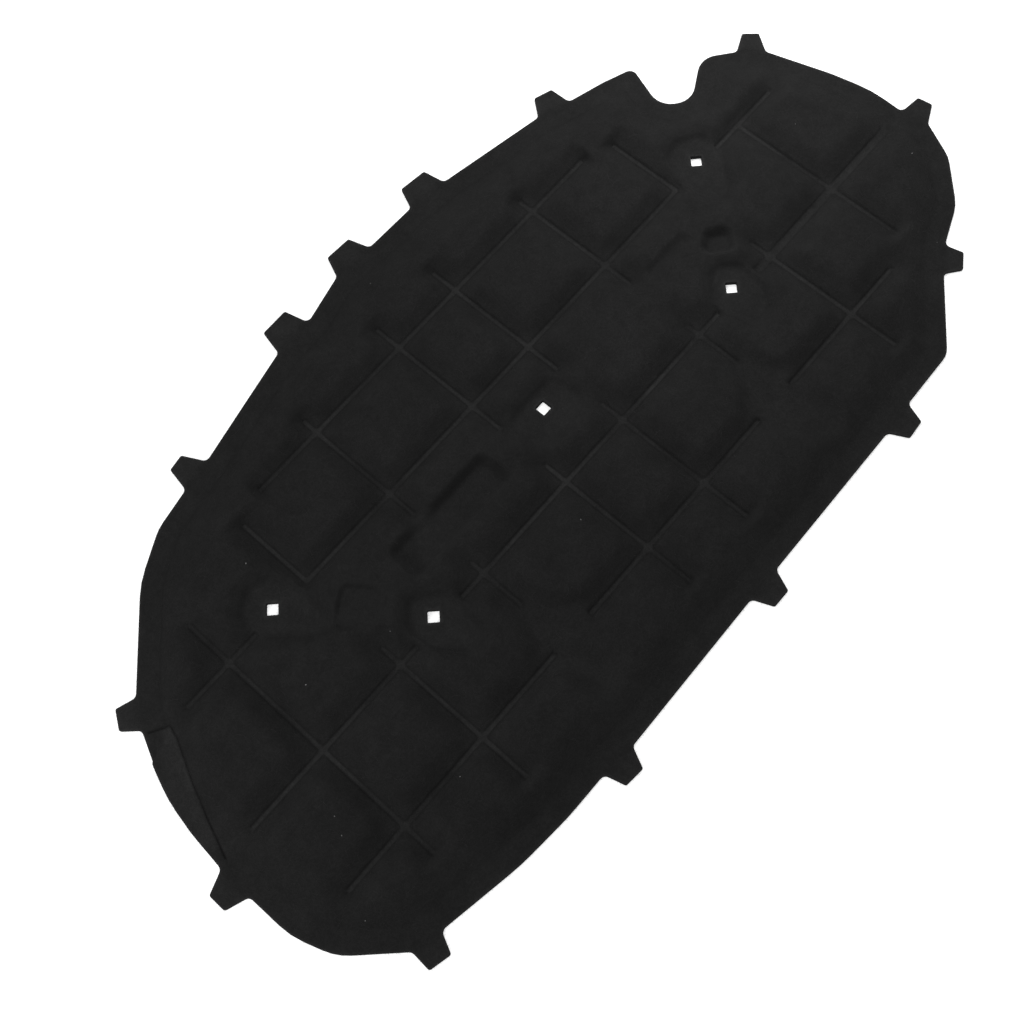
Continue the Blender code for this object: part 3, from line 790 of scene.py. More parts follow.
@dataclass(frozen=True)
class Relief:
    """All that shapes the quilted face."""

    blanket: Blanket
    outline: Outline
    crease: Crease
    unevenness: Unevenness
    edge_round: float = 0.0010
    calm_height: float = 0.0050
    lively_height: float = 0.0120
    least_sharpness: float = 0.20
    sharp_from: float = 0.0200
    sharp_to: float = 0.4600
    sharp_run: float = 0.1000

    def pressed_height(self, points: np.ndarray) -> np.ndarray:
        """Height that the mould gives the face.

        Args:
            points: Plan points, one row each.

        Returns:
            Heights over the pad's back.
        """
        blanket = self.blanket
        rise = np.ones(len(points))
        for channel in Quilting(blanket).channels():
            rise *= channel.rise(points)
        height = blanket.channel_floor + (blanket.pillow - blanket.channel_floor) * rise
        pressed = PressedAreas(blanket, self.outline)
        for area in pressed.dips() + pressed.areas():
            climb = soft_step(distance_outside(points, area.rim) / area.slope)
            height = np.where(height > area.level, area.level + (height - area.level) * climb, height)
        depth = self.body_depth(points)
        inner = depth - blanket.lip_width
        sharp = self.lip_sharpness(points)
        lip = blanket.lip + sharp * blanket.lip_step_height * np.clip(inner / blanket.lip_step_run, 0.0, 1.0)
        sharp_climb = quarter_round((inner - blanket.lip_step_run) / blanket.border_climb)
        soft_climb = soft_step((depth - blanket.soft_border_start) / blanket.soft_border_climb)
        climb = soft_climb + sharp * (sharp_climb - soft_climb)
        return lip + (height - lip) * climb - self.crease.depth * self.crease.line(points)

    def lip_sharpness(self, points: np.ndarray) -> np.ndarray:
        """How sharply the lip is set off from the pillows: fully along the bowed edge, little elsewhere."""
        up = soft_step((points[:, 1] - self.sharp_from) / self.sharp_run)
        along = soft_step((self.sharp_to - points[:, 0]) / self.sharp_run)
        return self.least_sharpness + (1.0 - self.least_sharpness) * up * along

    def body_depth(self, points: np.ndarray) -> np.ndarray:
        """How far points lie inside the body's edge, and nothing on the tabs."""
        body = self.outline.body()
        return np.where(inside_path(points, body), distance_to_path(points, body), 0.0)

    def height(self, points: np.ndarray, edge_distance: np.ndarray) -> np.ndarray:
        """Height of the finished face: the mould's, the unevenness, and the rounding of the cut edges.

        Args:
            points: Plan points, one row each.
            edge_distance: How far each point lies from the nearest cut edge.

        Returns:
            Heights over the floor.
        """
        mould = self.pressed_height(points)
        lively = soft_step((mould - self.calm_height) / (self.lively_height - self.calm_height))
        inset = np.clip(self.edge_round - edge_distance, 0.0, self.edge_round)
        drop = self.edge_round - np.sqrt(self.edge_round**2 - inset**2)
        return mould + lively * self.unevenness.height(points) - drop + self.crease.lift(points)


# Plan of the visible mesh


@dataclass
class Plan:
    """Points and fixed edges of a triangulation, with a grid that keeps added points apart."""

    cell_size: float = 0.0050
    points: list[Vector] = field(default_factory=list)
    edges: list[tuple[int, int]] = field(default_factory=list)
    cells: dict[tuple[int, int], list[int]] = field(default_factory=dict)

    def cell(self, point: Vector) -> tuple[int, int]:
        """The grid cell that a point falls in."""
        return (math.floor(point[0] / self.cell_size), math.floor(point[1] / self.cell_size))

    def add(self, point: Vector) -> int:
        """Adds a point and gives its number."""
        self.points.append(Vector((point[0], point[1])))
        self.cells.setdefault(self.cell(point), []).append(len(self.points) - 1)
        return len(self.points) - 1

    def clear(self, point: Vector, gap: float) -> bool:
        """Tells whether no point lies nearer than a gap.

        Args:
            point: The place to look round.
            gap: The distance to keep free.

        Returns:
            True if the place is free.
        """
        column, row = self.cell(point)
        reach = math.ceil(gap / self.cell_size)
        for near_column in range(column - reach, column + reach + 1):
            for near_row in range(row - reach, row + reach + 1):
                for index in self.cells.get((near_column, near_row), ()):
                    if (self.points[index] - point).length < gap:
                        return False
        return True

    def add_path(self, path: list, closed: bool = True) -> list[int]:
        """Adds a polyline whose runs stay edges of the mesh, and gives its points' numbers."""
        numbers = [self.add(point) for point in path]
        self.edges += list(zip(numbers, numbers[1:]))
        if closed:
            self.edges.append((numbers[-1], numbers[0]))
        return numbers

    def add_loose(self, points: list[Vector], gap: float) -> None:
        """Adds the points that are clear of those already there."""
        for point in points:
            if self.clear(point, gap):
                self.add(point)

    def triangulated(self, rim: list, holes: list) -> tuple[np.ndarray, np.ndarray, dict[int, int]]:
        """Fills the plan with triangles between its rim and its holes.

        Args:
            rim: The outer edge.
            holes: The rims of the holes.

        Returns:
            The points, the triangles counter-clockwise, and where each added point went.
        """
        places, _, faces, sources, _, _ = delaunay_2d_cdt(self.points, self.edges, [], 0, MERGE_GAP)
        spots = as_array(places)
        corners = np.array([tuple(face) for face in faces])
        middles = spots[corners].mean(axis=1)
        keep = inside_path(middles, rim)
        for hole in holes:
            keep &= ~inside_path(middles, hole)
        corners = corners[keep]
        first, second, third = (spots[corners[:, column]] for column in range(3))
        ahead, aside = second - first, third - first
        clockwise = ahead[:, 0] * aside[:, 1] - ahead[:, 1] * aside[:, 0] < 0.0
        corners[clockwise] = corners[clockwise][:, ::-1]
        found = {source: number for number, origins in enumerate(sources) for source in origins}
        return spots, corners, found


def quartered(spots: np.ndarray, corners: np.ndarray) -> tuple[np.ndarray, np.ndarray]:
    """Splits every triangle into four at the middles of its edges.

    Args:
        spots: The points, one row each.
        corners: The triangles' point numbers.

    Returns:
        The points with the added ones, and the smaller triangles.
    """
    pairs = np.vstack([corners[:, [0, 1]], corners[:, [1, 2]], corners[:, [2, 0]]])
    unique, inverse = np.unique(np.sort(pairs, axis=1), axis=0, return_inverse=True)
    a, b, c = corners.T
    ab, bc, ca = inverse.reshape(3, -1) + len(spots)
    quarters = ((a, ab, ca), (ab, b, bc), (ca, bc, c), (ab, bc, ca))
    return np.vstack([spots, spots[unique].mean(axis=1)]), np.vstack([np.column_stack(q) for q in quarters])


def rim_loops(corners: np.ndarray) -> list[list[int]]:
    """Finds the closed loops of point numbers round the triangles.

    Args:
        corners: The triangles' point numbers, counter-clockwise.

    Returns:
        The loops, with the triangles on their left.
    """
    edges = {(triangle[i], triangle[i - 2]) for triangle in corners.tolist() for i in range(3)}
    onward = {start: end for start, end in sorted(edges) if (end, start) not in edges}
    loops = []
    while onward:
        start, here = onward.popitem()
        loop = [start]
        while here != start:
            loop.append(here)
            here = onward.pop(here)
        loops.append(loop)
    return loops


def new_object(name: str, mesh: bpy.types.Mesh) -> bpy.types.Object:
    """Links a mesh to the scene as an object at the origin."""
    piece = bpy.data.objects.new(name, mesh)
    bpy.context.scene.collection.objects.link(piece)
    return piece


# Node trees


@dataclass
class Wiring:
    """Adds nodes to one tree and joins them."""

    tree: bpy.types.NodeTree

    def feed(self, node: bpy.types.Node, inputs: dict[str | int, object]) -> bpy.types.Node:
        """Joins sockets to a node's inputs, or sets their values, by the input's name or number."""
        for name, value in inputs.items():
            if isinstance(value, Socket):
                self.tree.links.new(value, node.inputs[name])
            else:
                node.inputs[name].default_value = value
        return node

    def add(self, kind: str, inputs: dict | None = None, **settings: object) -> bpy.types.Node:
        """Adds a node.

        Args:
            kind: The node's type name.
            inputs: Sockets to join or values to set, by the input's name or number.
            **settings: The node's own properties.

        Returns:
            The node.
        """
        node = self.tree.nodes.new(kind)
        for name, value in settings.items():
            setattr(node, name, value)
        return self.feed(node, inputs or {})

    def math(self, operation: str, *values: object) -> Socket:
        """The result of one sum on two or three values or sockets."""
        return self.add("ShaderNodeMath", dict(enumerate(values)), operation=operation).outputs[0]

    def group(self, tree: bpy.types.NodeTree, inputs: dict[str, object]) -> bpy.types.Node:
        """Places a shared group, and joins or sets its inputs by name."""
        node = self.add(f"{tree.bl_idname.removesuffix('Tree')}Group")
        node.node_tree = tree
        return self.feed(node, inputs)

    def mixed(self, factor: object, first: object, second: object) -> Socket:
        """A colour between two others."""
        inputs = {0: factor, 6: first, 7: second}
        return self.add("ShaderNodeMix", inputs, data_type="RGBA").outputs[2]


def new_material(name: str) -> tuple[bpy.types.Material, Wiring, bpy.types.Node]:
    """Makes a material, and gives it with the wiring of its tree and with its shader."""
    material = bpy.data.materials.new(name)
    material.use_nodes = True
    return material, Wiring(material.node_tree), material.node_tree.nodes["Principled BSDF"]


def new_group(name: str, kind: str, inputs: dict, outputs: dict[str, str]) -> Wiring:
    """Makes an empty node group.

    Args:
        name: The group's name.
        kind: ShaderNodeTree or GeometryNodeTree.
        inputs: Each input's socket type and default value, by name.
        outputs: Each output's socket type, by name.

    Returns:
        The wiring of the group's tree.
    """
    tree = bpy.data.node_groups.new(name, kind)
    for label, (socket_type, value) in inputs.items():
        socket = tree.interface.new_socket(label, in_out="INPUT", socket_type=socket_type)
        if value is not None:
            socket.default_value = value
    for label, socket_type in outputs.items():
        tree.interface.new_socket(label, in_out="OUTPUT", socket_type=socket_type)
    return Wiring(tree)


class ShaderEffects:
    """The node groups that the finishes share, each built once."""

    strand_turns = (12.0, 58.0, 101.0, 149.0)
    strand_bend = 0.6
    strand_edge = (0.50, 0.72)
    strand_height = 0.6
    pit_height = 0.6
    tuft_detail = 5.0
    tuft_roughness = 0.62
    broad_scale = 0.22
    broad_share = 0.4

    def __init__(self) -> None:
        """Builds both groups."""
        self.strands = self.strand_group()
        self.patches = self.patch_group()

    def strand_group(self) -> bpy.types.NodeTree:
        """Builds the needled strands: fine streaks that cross in several directions.

        Returns:
            The group, with a mask of the strands and a height for bump.
        """
        wiring = new_group(
            "needled_strands",
            "ShaderNodeTree",
            {
                "Vector": ("NodeSocketVector", None),
                "Strand Width": ("NodeSocketFloat", 0.0009),
                "Stretch": ("NodeSocketFloat", 0.16),
            },
            {"Mask": "NodeSocketFloat", "Height": "NodeSocketFloat"},
        )
        into = wiring.add("NodeGroupInput")
        vector = into.outputs["Vector"]
        scale = wiring.math("DIVIDE", 1.0, into.outputs["Strand Width"])
        squeeze = wiring.add("ShaderNodeCombineXYZ", {0: 1.0, 1: into.outputs["Stretch"], 2: 1.0}).outputs[0]
        mask = None
        for turn in self.strand_turns:
            inputs = {"Vector": vector, "Angle": math.radians(turn)}
            turned = wiring.add("ShaderNodeVectorRotate", inputs, rotation_type="Z_AXIS").outputs[0]
            inputs = {0: turned, 1: squeeze}
            stretched = wiring.add("ShaderNodeVectorMath", inputs, operation="MULTIPLY").outputs[0]
            inputs = {"Vector": stretched, "Scale": scale, "Detail": 1.0, "Distortion": self.strand_bend}
            streaks = wiring.add("ShaderNodeTexNoise", inputs).outputs[0]
            inputs = {"Value": streaks, "From Min": self.strand_edge[0], "From Max": self.strand_edge[1]}
            strand = wiring.add("ShaderNodeMapRange", inputs, interpolation_type="SMOOTHSTEP").outputs[0]
            mask = strand if mask is None else wiring.math("MAXIMUM", mask, strand)
        pits = wiring.add("ShaderNodeTexNoise", {"Vector": vector, "Scale": scale, "Detail": 2.0}).outputs[0]
        raised = wiring.math("MULTIPLY", mask, self.strand_height)
        height = wiring.math("ADD", raised, wiring.math("MULTIPLY", pits, self.pit_height))
        wiring.add("NodeGroupOutput", {"Mask": mask, "Height": height})
        return wiring.tree

    def patch_group(self) -> bpy.types.NodeTree:
        """Builds the uneven tone of a blanket laid from many tufts.

        Returns:
            The group, with a tone about one half.
        """
        wiring = new_group(
            "tuft_patches",
            "ShaderNodeTree",
            {"Vector": ("NodeSocketVector", None), "Patch Size": ("NodeSocketFloat", 0.020)},
            {"Tone": "NodeSocketFloat"},
        )
        into = wiring.add("NodeGroupInput")
        scale = wiring.math("DIVIDE", 1.0, into.outputs["Patch Size"])
        vector = into.outputs["Vector"]
        inputs = {"Vector": vector, "Scale": scale}
        inputs |= {"Detail": self.tuft_detail, "Roughness": self.tuft_roughness}
        tufts = wiring.add("ShaderNodeTexNoise", inputs).outputs[0]
        inputs = {"Vector": vector, "Scale": wiring.math("MULTIPLY", scale, self.broad_scale)}
        broad = wiring.add("ShaderNodeTexNoise", inputs).outputs[0]
        shares = wiring.math("MULTIPLY", broad, self.broad_share)
        tone = wiring.math("MULTIPLY_ADD", tufts, 1.0 - self.broad_share, shares)
        wiring.add("NodeGroupOutput", {"Tone": tone})
        return wiring.tree


@dataclass(frozen=True)
class FeltFinish:
    """Black needled fibre: dark and hairy on the pillows, paler and smoother where it is pressed thin, with
    painted shade at wall feet, lip line and crease.
    """

    loose: float = 0.0134
    pressed: float = 0.0210
    cut: float = 0.0225
    # Painted shade: the colour is multiplied by this where the painted_shade attribute is 1
    painted_shade_factor: float = 0.78
    tone_limits: tuple[float, float] = (0.3, 0.7)
    tone_spread: float = 0.38
    strand_gain: float = 0.38
    strand_cover: float = 1 / 3
    patch_size: float = 0.018
    strand_width: float = 0.0009
    bump_distance: float = 0.00035
    bump_strength: float = 0.55
    loose_roughness: float = 0.96
    pressed_roughness: float = 0.84
    specular: float = 0.10
    sheen: float = 0.02
    sheen_roughness: float = 0.38

    def tone(self, wiring: Wiring, effects: ShaderEffects, place: Socket) -> Socket:
        """Works out how much lighter or darker the tufts make each place.

        Args:
            wiring: The material's wiring.
            effects: The shared node groups.
            place: The place on the object.

        Returns:
            A factor about one.
        """
        patches = wiring.group(effects.patches, {"Vector": place, "Patch Size": self.patch_size})
        low, high = self.tone_limits
        inputs = {"Value": patches.outputs["Tone"], "From Min": low, "From Max": high}
        inputs |= {"To Min": 1 - self.tone_spread / 2, "To Max": 1 + self.tone_spread / 2}
        return wiring.add("ShaderNodeMapRange", inputs).outputs[0]

    def material(self, effects: ShaderEffects) -> bpy.types.Material:
        """Builds the material.

        Args:
            effects: The shared node groups.

        Returns:
            The material.
        """
        material, wiring, shader = new_material("needled_black_fibre")
        place = wiring.add("ShaderNodeTexCoord").outputs["Object"]
        pressed, cut, painted_shade = (
            wiring.add("ShaderNodeAttribute", attribute_name=zone.value).outputs["Fac"]
            for zone in (Zone.PRESSED, Zone.CUT_EDGE, Zone.PAINTED_SHADE)
        )
        strands = wiring.group(effects.strands, {"Vector": place, "Strand Width": self.strand_width})
        base = wiring.mixed(pressed, grey(self.loose), grey(self.pressed))
        base = wiring.mixed(cut, base, grey(self.cut))
        between = 1 - self.strand_gain * self.strand_cover
        strand_light = wiring.math("MULTIPLY_ADD", strands.outputs["Mask"], self.strand_gain, between)
        # Painted shade: darkens the colour at the feet of channel walls, along the lip's inner line and on the
        # crease
        painted_shade_darkening = wiring.math("MULTIPLY_ADD", painted_shade, self.painted_shade_factor - 1.0, 1.0)
        factor = wiring.math("MULTIPLY", self.tone(wiring, effects, place), strand_light)
        factor = wiring.math("MULTIPLY", factor, painted_shade_darkening)
        tinted = wiring.add("ShaderNodeVectorMath", {0: base, 3: factor}, operation="SCALE").outputs[0]
        inputs = {"Value": pressed, "To Min": self.loose_roughness, "To Max": self.pressed_roughness}
        roughness = wiring.add("ShaderNodeMapRange", inputs).outputs[0]
        inputs = {"Height": strands.outputs["Height"]}
        inputs |= {"Strength": self.bump_strength, "Distance": self.bump_distance}
        bump = wiring.add("ShaderNodeBump", inputs).outputs[0]
        wiring.feed(shader, {"Base Color": tinted, "Roughness": roughness, "Normal": bump})
        wiring.feed(shader, {"Specular IOR Level": self.specular})
        wiring.feed(shader, {"Sheen Weight": self.sheen, "Sheen Roughness": self.sheen_roughness})
        return material


@dataclass(frozen=True)
class FibreFinish:
    """The finish of loose fibres and lint, uneven in tone from place to place."""

    name: str
    dark: float
    pale: float
    roughness: float = 0.8
    patch_size: float = 0.0030
    tone_limits: tuple[float, float] = (0.35, 0.65)

    def material(self, effects: ShaderEffects) -> bpy.types.Material:
        """Builds the material.

        Args:
            effects: The shared node groups.

        Returns:
            The material.
        """
        material, wiring, shader = new_material(self.name)
        place = wiring.add("ShaderNodeTexCoord").outputs["Object"]
        patches = wiring.group(effects.patches, {"Vector": place, "Patch Size": self.patch_size})
        low, high = self.tone_limits
        inputs = {"Value": patches.outputs["Tone"], "From Min": low, "From Max": high}
        share = wiring.add("ShaderNodeMapRange", inputs).outputs[0]
        colour = wiring.mixed(share, grey(self.dark), grey(self.pale))
        wiring.feed(shader, {"Base Color": colour, "Roughness": self.roughness})
        return material


# The pad and what lies on it


@dataclass
class QuiltedPad:
    """The blanket itself: quilted face, cut edges and flat back, as one closed mesh.

    Steps and gaps set how fine the mesh is. Shares say how pale and smooth the fibre is at each kind of place,
    from 0 where it is loose to 1 where it is pressed hard; the painted-shade shares say how dark the painted
    shade is.
    """

    outline: Outline = Outline()
    blanket: Blanket = Blanket()
    crease: Crease = Crease()
    unevenness: Unevenness = Unevenness()
    finish: FeltFinish = FeltFinish()
    channel_step: float = 0.0060
    area_step: float = 0.0050
    ring_step: float = 0.0080
    fill_step: float = 0.0078
    row_gap: float = 0.0030
    fill_gap: float = 0.0048
    area_gap_share: float = 0.2
    lip_gap_share: float = 0.4
    ring_slack: float = 0.0005
    back_step: float = 0.0240
    sharp_angle: float = 55.0
    edge_rows: tuple[float, ...] = (0.00035, 0.0011, 0.0030)
    hole_rows: int = 2
    lip_rows: tuple[float, ...] = (0.0, 0.5, 1.0)
    shoulder_rows: tuple[float, ...] = (0.10, 0.22, 0.38, 0.58, 0.80)
    area_rows: tuple[float, ...] = (0.25, 0.5, 0.75, 1.0)
    line_patch: float = 0.0800
    line_shift: float = 17.3
    line_mean: float = 0.48
    line_spread: float = 0.90
    line_least: float = 0.15
    crossing_size: float = 0.0075
    crossing_fade: float = 0.0015
    crossing_share: float = 0.50
    pale_level: float = 0.0100
    seat_share: float = 0.20
    pocket_share: float = 0.05
    lip_share: float = 0.08
    tab_share: float = 0.45
    tab_fade: float = 0.0080
    cut_reach: float = 0.0040
    # Painted shade: how wide its dark lines are at wall feet and the lip step, and how strong they are on the
    # lip line
    painted_shade_reach: float = 0.0018
    lip_painted_shade_share: float = 0.80
    strip_share: float = 0.80
    # Painted shade: how strong its dark line is on the crease
    crease_painted_shade_share: float = 1.8
    wall_part: tuple[float, float] = (0.30, 0.95)
    wide_share: float = 0.55
    piece: bpy.types.Object | None = None
    face_mesh: bpy.types.Mesh | None = None
    edge_mesh: bpy.types.Mesh | None = None

    def relief(self) -> Relief:
        """All that shapes the face."""
        return Relief(self.blanket, self.outline, self.crease, self.unevenness)

    def middle(self) -> np.ndarray:
        """Middle of the pad's box on the plan."""
        rim = as_array(self.outline.rim())
        return (rim.min(axis=0) + rim.max(axis=0)) / 2

    def fill_points(self, step: float, margin: float) -> list[Vector]:
        """Lays an even pattern of points over the pad.

        Args:
            step: The distance between neighbours.
            margin: How far the points stay inside the body's edge.

        Returns:
            The points.
        """
        body = self.outline.body()
        corners = as_array(body)
        low, high = corners.min(axis=0), corners.max(axis=0)
        row_step = step * math.sqrt(3) / 2
        places = []
        for row in range(math.ceil((high[1] - low[1]) / row_step)):
            shift = step / 2 if row % 2 else 0.0
            for column in range(math.ceil((high[0] - low[0]) / step)):
                places.append(Vector((low[0] + shift + column * step, low[1] + row * row_step)))
        spots = as_array(places)
        keep = inside_path(spots, body) & (distance_to_path(spots, body) > margin)
        return [place for place, kept in zip(places, keep) if kept]

    def border_ring(self, depth: float) -> list[Vector]:
        """Points at one depth inside the body's edge, without those that come nearer to another stretch."""
        body = self.outline.body()
        ring = inward(divided(list(body), self.ring_step), depth)
        away = distance_to_path(as_array(ring), body)
        return [point for point, gap in zip(ring, away) if gap > depth - self.ring_slack]

    def face_plan(self, rim: list[Vector], holes: list[list[Vector]]) -> Plan:
        """Lays out the face's points so that its edges follow every fold of the relief.

        Args:
            rim: The cut edge.
            holes: The rims of the clip holes.

        Returns:
            The plan.
        """
        plan = Plan()
        plan.add_path(rim)
        for row in self.edge_rows:
            plan.add_path(inward(rim, row))
        for hole in holes:
            plan.add_path(hole)
            for row in self.edge_rows[: self.hole_rows]:
                plan.add_path(inward(list(reversed(hole)), row))
        plan.add_path(self.crease.path(self.channel_step), closed=False)
        plan.add_loose(self.crease.beside(self.channel_step), self.crease.half_width / 2)
        areas = PressedAreas(self.blanket, self.outline).areas()
        for area in areas:
            plan.add_path(divided(list(area.rim), self.area_step))
        channels = Quilting(self.blanket).channels()
        for channel in channels:
            plan.add_path(channel.loop(self.blanket.channel_half_width, self.channel_step))
            plan.add_path(channel.loop(self.blanket.channel_wall_top(), self.channel_step))
        for share in self.area_rows:
            for area in areas:
                ring = inward(list(reversed(divided(list(area.rim), self.area_step))), area.slope * share)
                plan.add_loose(ring, area.slope * self.area_gap_share)
        for share in self.lip_rows:
            depth = self.blanket.lip_width + share * self.blanket.lip_step_run
            plan.add_loose(self.border_ring(depth), self.blanket.lip_step_run * self.lip_gap_share)
        for share in self.shoulder_rows:
            for channel in channels:
                away = self.blanket.channel_wall_top() + channel.shoulder * share
                plan.add_loose(channel.loop(away, self.ring_step), self.row_gap)
        plan.add_loose(self.fill_points(self.fill_step, 0.0), self.fill_gap)
        return plan

    def zones(self, spots: np.ndarray, edge_distance: np.ndarray) -> dict[Zone, np.ndarray]:
        """Works out what the finish has to know of each point of the face.

        Args:
            spots: The points on the plan.
            edge_distance: How far each lies from the nearest cut edge.

        Returns:
            Values from 0 to 1 for each zone.
        """
        blanket, relief = self.blanket, self.relief()
        channels = Quilting(blanket).channels()
        away = np.array([channel.distance(spots) for channel in channels])
        nearest, second = np.partition(away, 1, axis=0)[:2]
        floor = np.clip(1.0 - (nearest - blanket.channel_half_width) / blanket.channel_wall_run, 0.0, 1.0)
        floor *= self.line_strength(spots)
        widened = np.array([channel.widening > 0.0 for channel in channels])
        floor[widened[np.argmin(away, axis=0)]] *= self.wide_share
        crossing = np.clip((self.crossing_size - nearest - second) / self.crossing_fade, 0.0, 1.0)
        pressed = np.maximum(floor, self.crossing_share * crossing)
        pressings = PressedAreas(blanket, self.outline)
        seats = pressings.seats()
        for area in pressings.areas():
            if area.level > self.pale_level:
                continue
            share = self.seat_share if area in seats else self.pocket_share
            gap = distance_outside(spots, area.rim)
            pressed = np.maximum(pressed, share * soft_step(1.0 - gap / area.slope))
        depth = relief.body_depth(spots) - blanket.lip_width
        pressed = np.maximum(pressed, self.lip_share * soft_step(-depth / blanket.lip_step_run))
        on_tab = soft_step(distance_outside(spots, self.outline.body()) / self.tab_fade)
        pressed = np.maximum(pressed, self.tab_share * on_tab)
        pressed = np.maximum(pressed, self.strip_share * self.crease.strip(spots))
        # Painted shade: dark lines at the feet of the channel walls, at the lip's inner step and along the
        # crease, where shade falls
        painted_shade = np.clip(1.0 - np.abs(nearest - blanket.channel_wall_top()) / self.painted_shade_reach, 0.0, 1.0)
        painted_shade *= 1.0 - crossing
        lip_painted_shade = np.clip(1.0 - np.abs(depth - blanket.lip_step_run / 2) / self.painted_shade_reach, 0.0, 1.0)
        lip_painted_shade *= self.lip_painted_shade_share * relief.lip_sharpness(spots)
        cut = soft_step(1.0 - edge_distance / self.cut_reach)
        painted_shade = np.maximum.reduce([painted_shade, lip_painted_shade, self.crease_painted_shade_share * self.crease.line(spots)])
        return {Zone.PRESSED: pressed, Zone.CUT_EDGE: cut, Zone.PAINTED_SHADE: painted_shade}

    def line_strength(self, spots: np.ndarray) -> np.ndarray:
        """How clearly the channels show, which varies along them with how hard the fibre was pressed."""
        size = self.line_patch
        values = [noise.noise(Vector((x / size, y / size, self.line_shift))) for x, y in spots.tolist()]
        return np.clip(self.line_mean + self.line_spread * np.array(values), self.line_least, 1.0)

    def build(self) -> None:
        """Builds the closed mesh with its zones."""
        rim, holes, relief = self.outline.rim(), self.outline.holes(), self.relief()
        spots, corners, _ = self.face_plan(rim, holes).triangulated(rim, holes)
        spots, corners = quartered(spots, corners)
        used = np.unique(corners)
        spots, corners = spots[used], np.searchsorted(used, corners)
        edge_distance = distance_to_path(spots, rim)
        for hole in holes:
            edge_distance = np.minimum(edge_distance, distance_to_path(spots, hole))
        face_height = relief.height(spots, edge_distance)
        loops = rim_loops(corners)
        plan = Plan()
        plan_loops = [plan.add_path(spots[loop]) for loop in loops]
        plan.add_path(self.crease.path(self.channel_step), closed=False)
        plan.add_loose(self.fill_points(self.back_step, self.back_step / 2), self.back_step / 2)
        back, back_corners, found = plan.triangulated(rim, holes)
        middle = self.middle()
        upper_points = np.column_stack([spots - middle, face_height])
        points = np.vstack([upper_points, np.column_stack([back - middle, self.crease.lift(back)])])
        faces = [tuple(corner) for corner in corners.tolist()]
        faces += [tuple(corner) for corner in (back_corners[:, ::-1] + len(spots)).tolist()]
        for upper, plan_loop in zip(loops, plan_loops):
            lower = [found[number] + len(spots) for number in plan_loop]
            for index in range(len(upper)):
                on = (index + 1) % len(upper)
                faces.append((lower[index], lower[on], upper[on], upper[index]))
        self.face_mesh = bpy.data.meshes.new("pad_face")
        self.face_mesh.from_pydata(points[: len(spots)].tolist(), [], faces[: len(corners)])
        self.edge_mesh = self.wall_strips(points, loops)
        mesh = bpy.data.meshes.new("quilted_pad")
        mesh.from_pydata(points.tolist(), [], faces)
        for zone, values in self.zones(spots, edge_distance).items():
            attribute = mesh.attributes.new(zone.value, "FLOAT", "POINT")
            whole = np.concatenate([values, np.zeros(len(back))]).astype(np.float32)
            attribute.data.foreach_set("value", whole)
        mesh.shade_smooth()
        mesh.set_sharp_from_angle(angle=math.radians(self.sharp_angle))
        self.piece = new_object("quilted_pad", mesh)

    def wall_strips(self, points: np.ndarray, loops: list[list[int]]) -> bpy.types.Mesh:
        """Makes strips that lie on the cut edges, for the fuzz to grow from.

        Args:
            points: The pad's points.
            loops: The loops of the face's rim.

        Returns:
            The strips, facing outward.
        """
        low_share, high_share = self.wall_part
        places, faces = [], []
        for loop in loops:
            first = len(places)
            for number in loop:
                x, y, height = points[number]
                places += [(x, y, height * low_share), (x, y, height * high_share)]
            for index in range(len(loop)):
                here, on = first + 2 * index, first + 2 * ((index + 1) % len(loop))
                faces.append((here, on, on + 1, here + 1))
        mesh = bpy.data.meshes.new("pad_edge")
        mesh.from_pydata(places, [], faces)
        return mesh

    def on_face(self, places: tuple[Place, ...]) -> list[tuple[float, float, float]]:
        """Sets plan places on the face."""
        spots = np.array(places)
        heights = self.relief().height(spots, np.full(len(spots), np.inf))
        return [tuple(place) for place in np.column_stack([spots - self.middle(), heights]).tolist()]

    def dress(self, effects: ShaderEffects) -> None:
        """Gives the pad its finish and says what it stands for."""
        self.piece.data.materials.append(self.finish.material(effects))
        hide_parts(NODE)
        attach(self.piece, BODY)


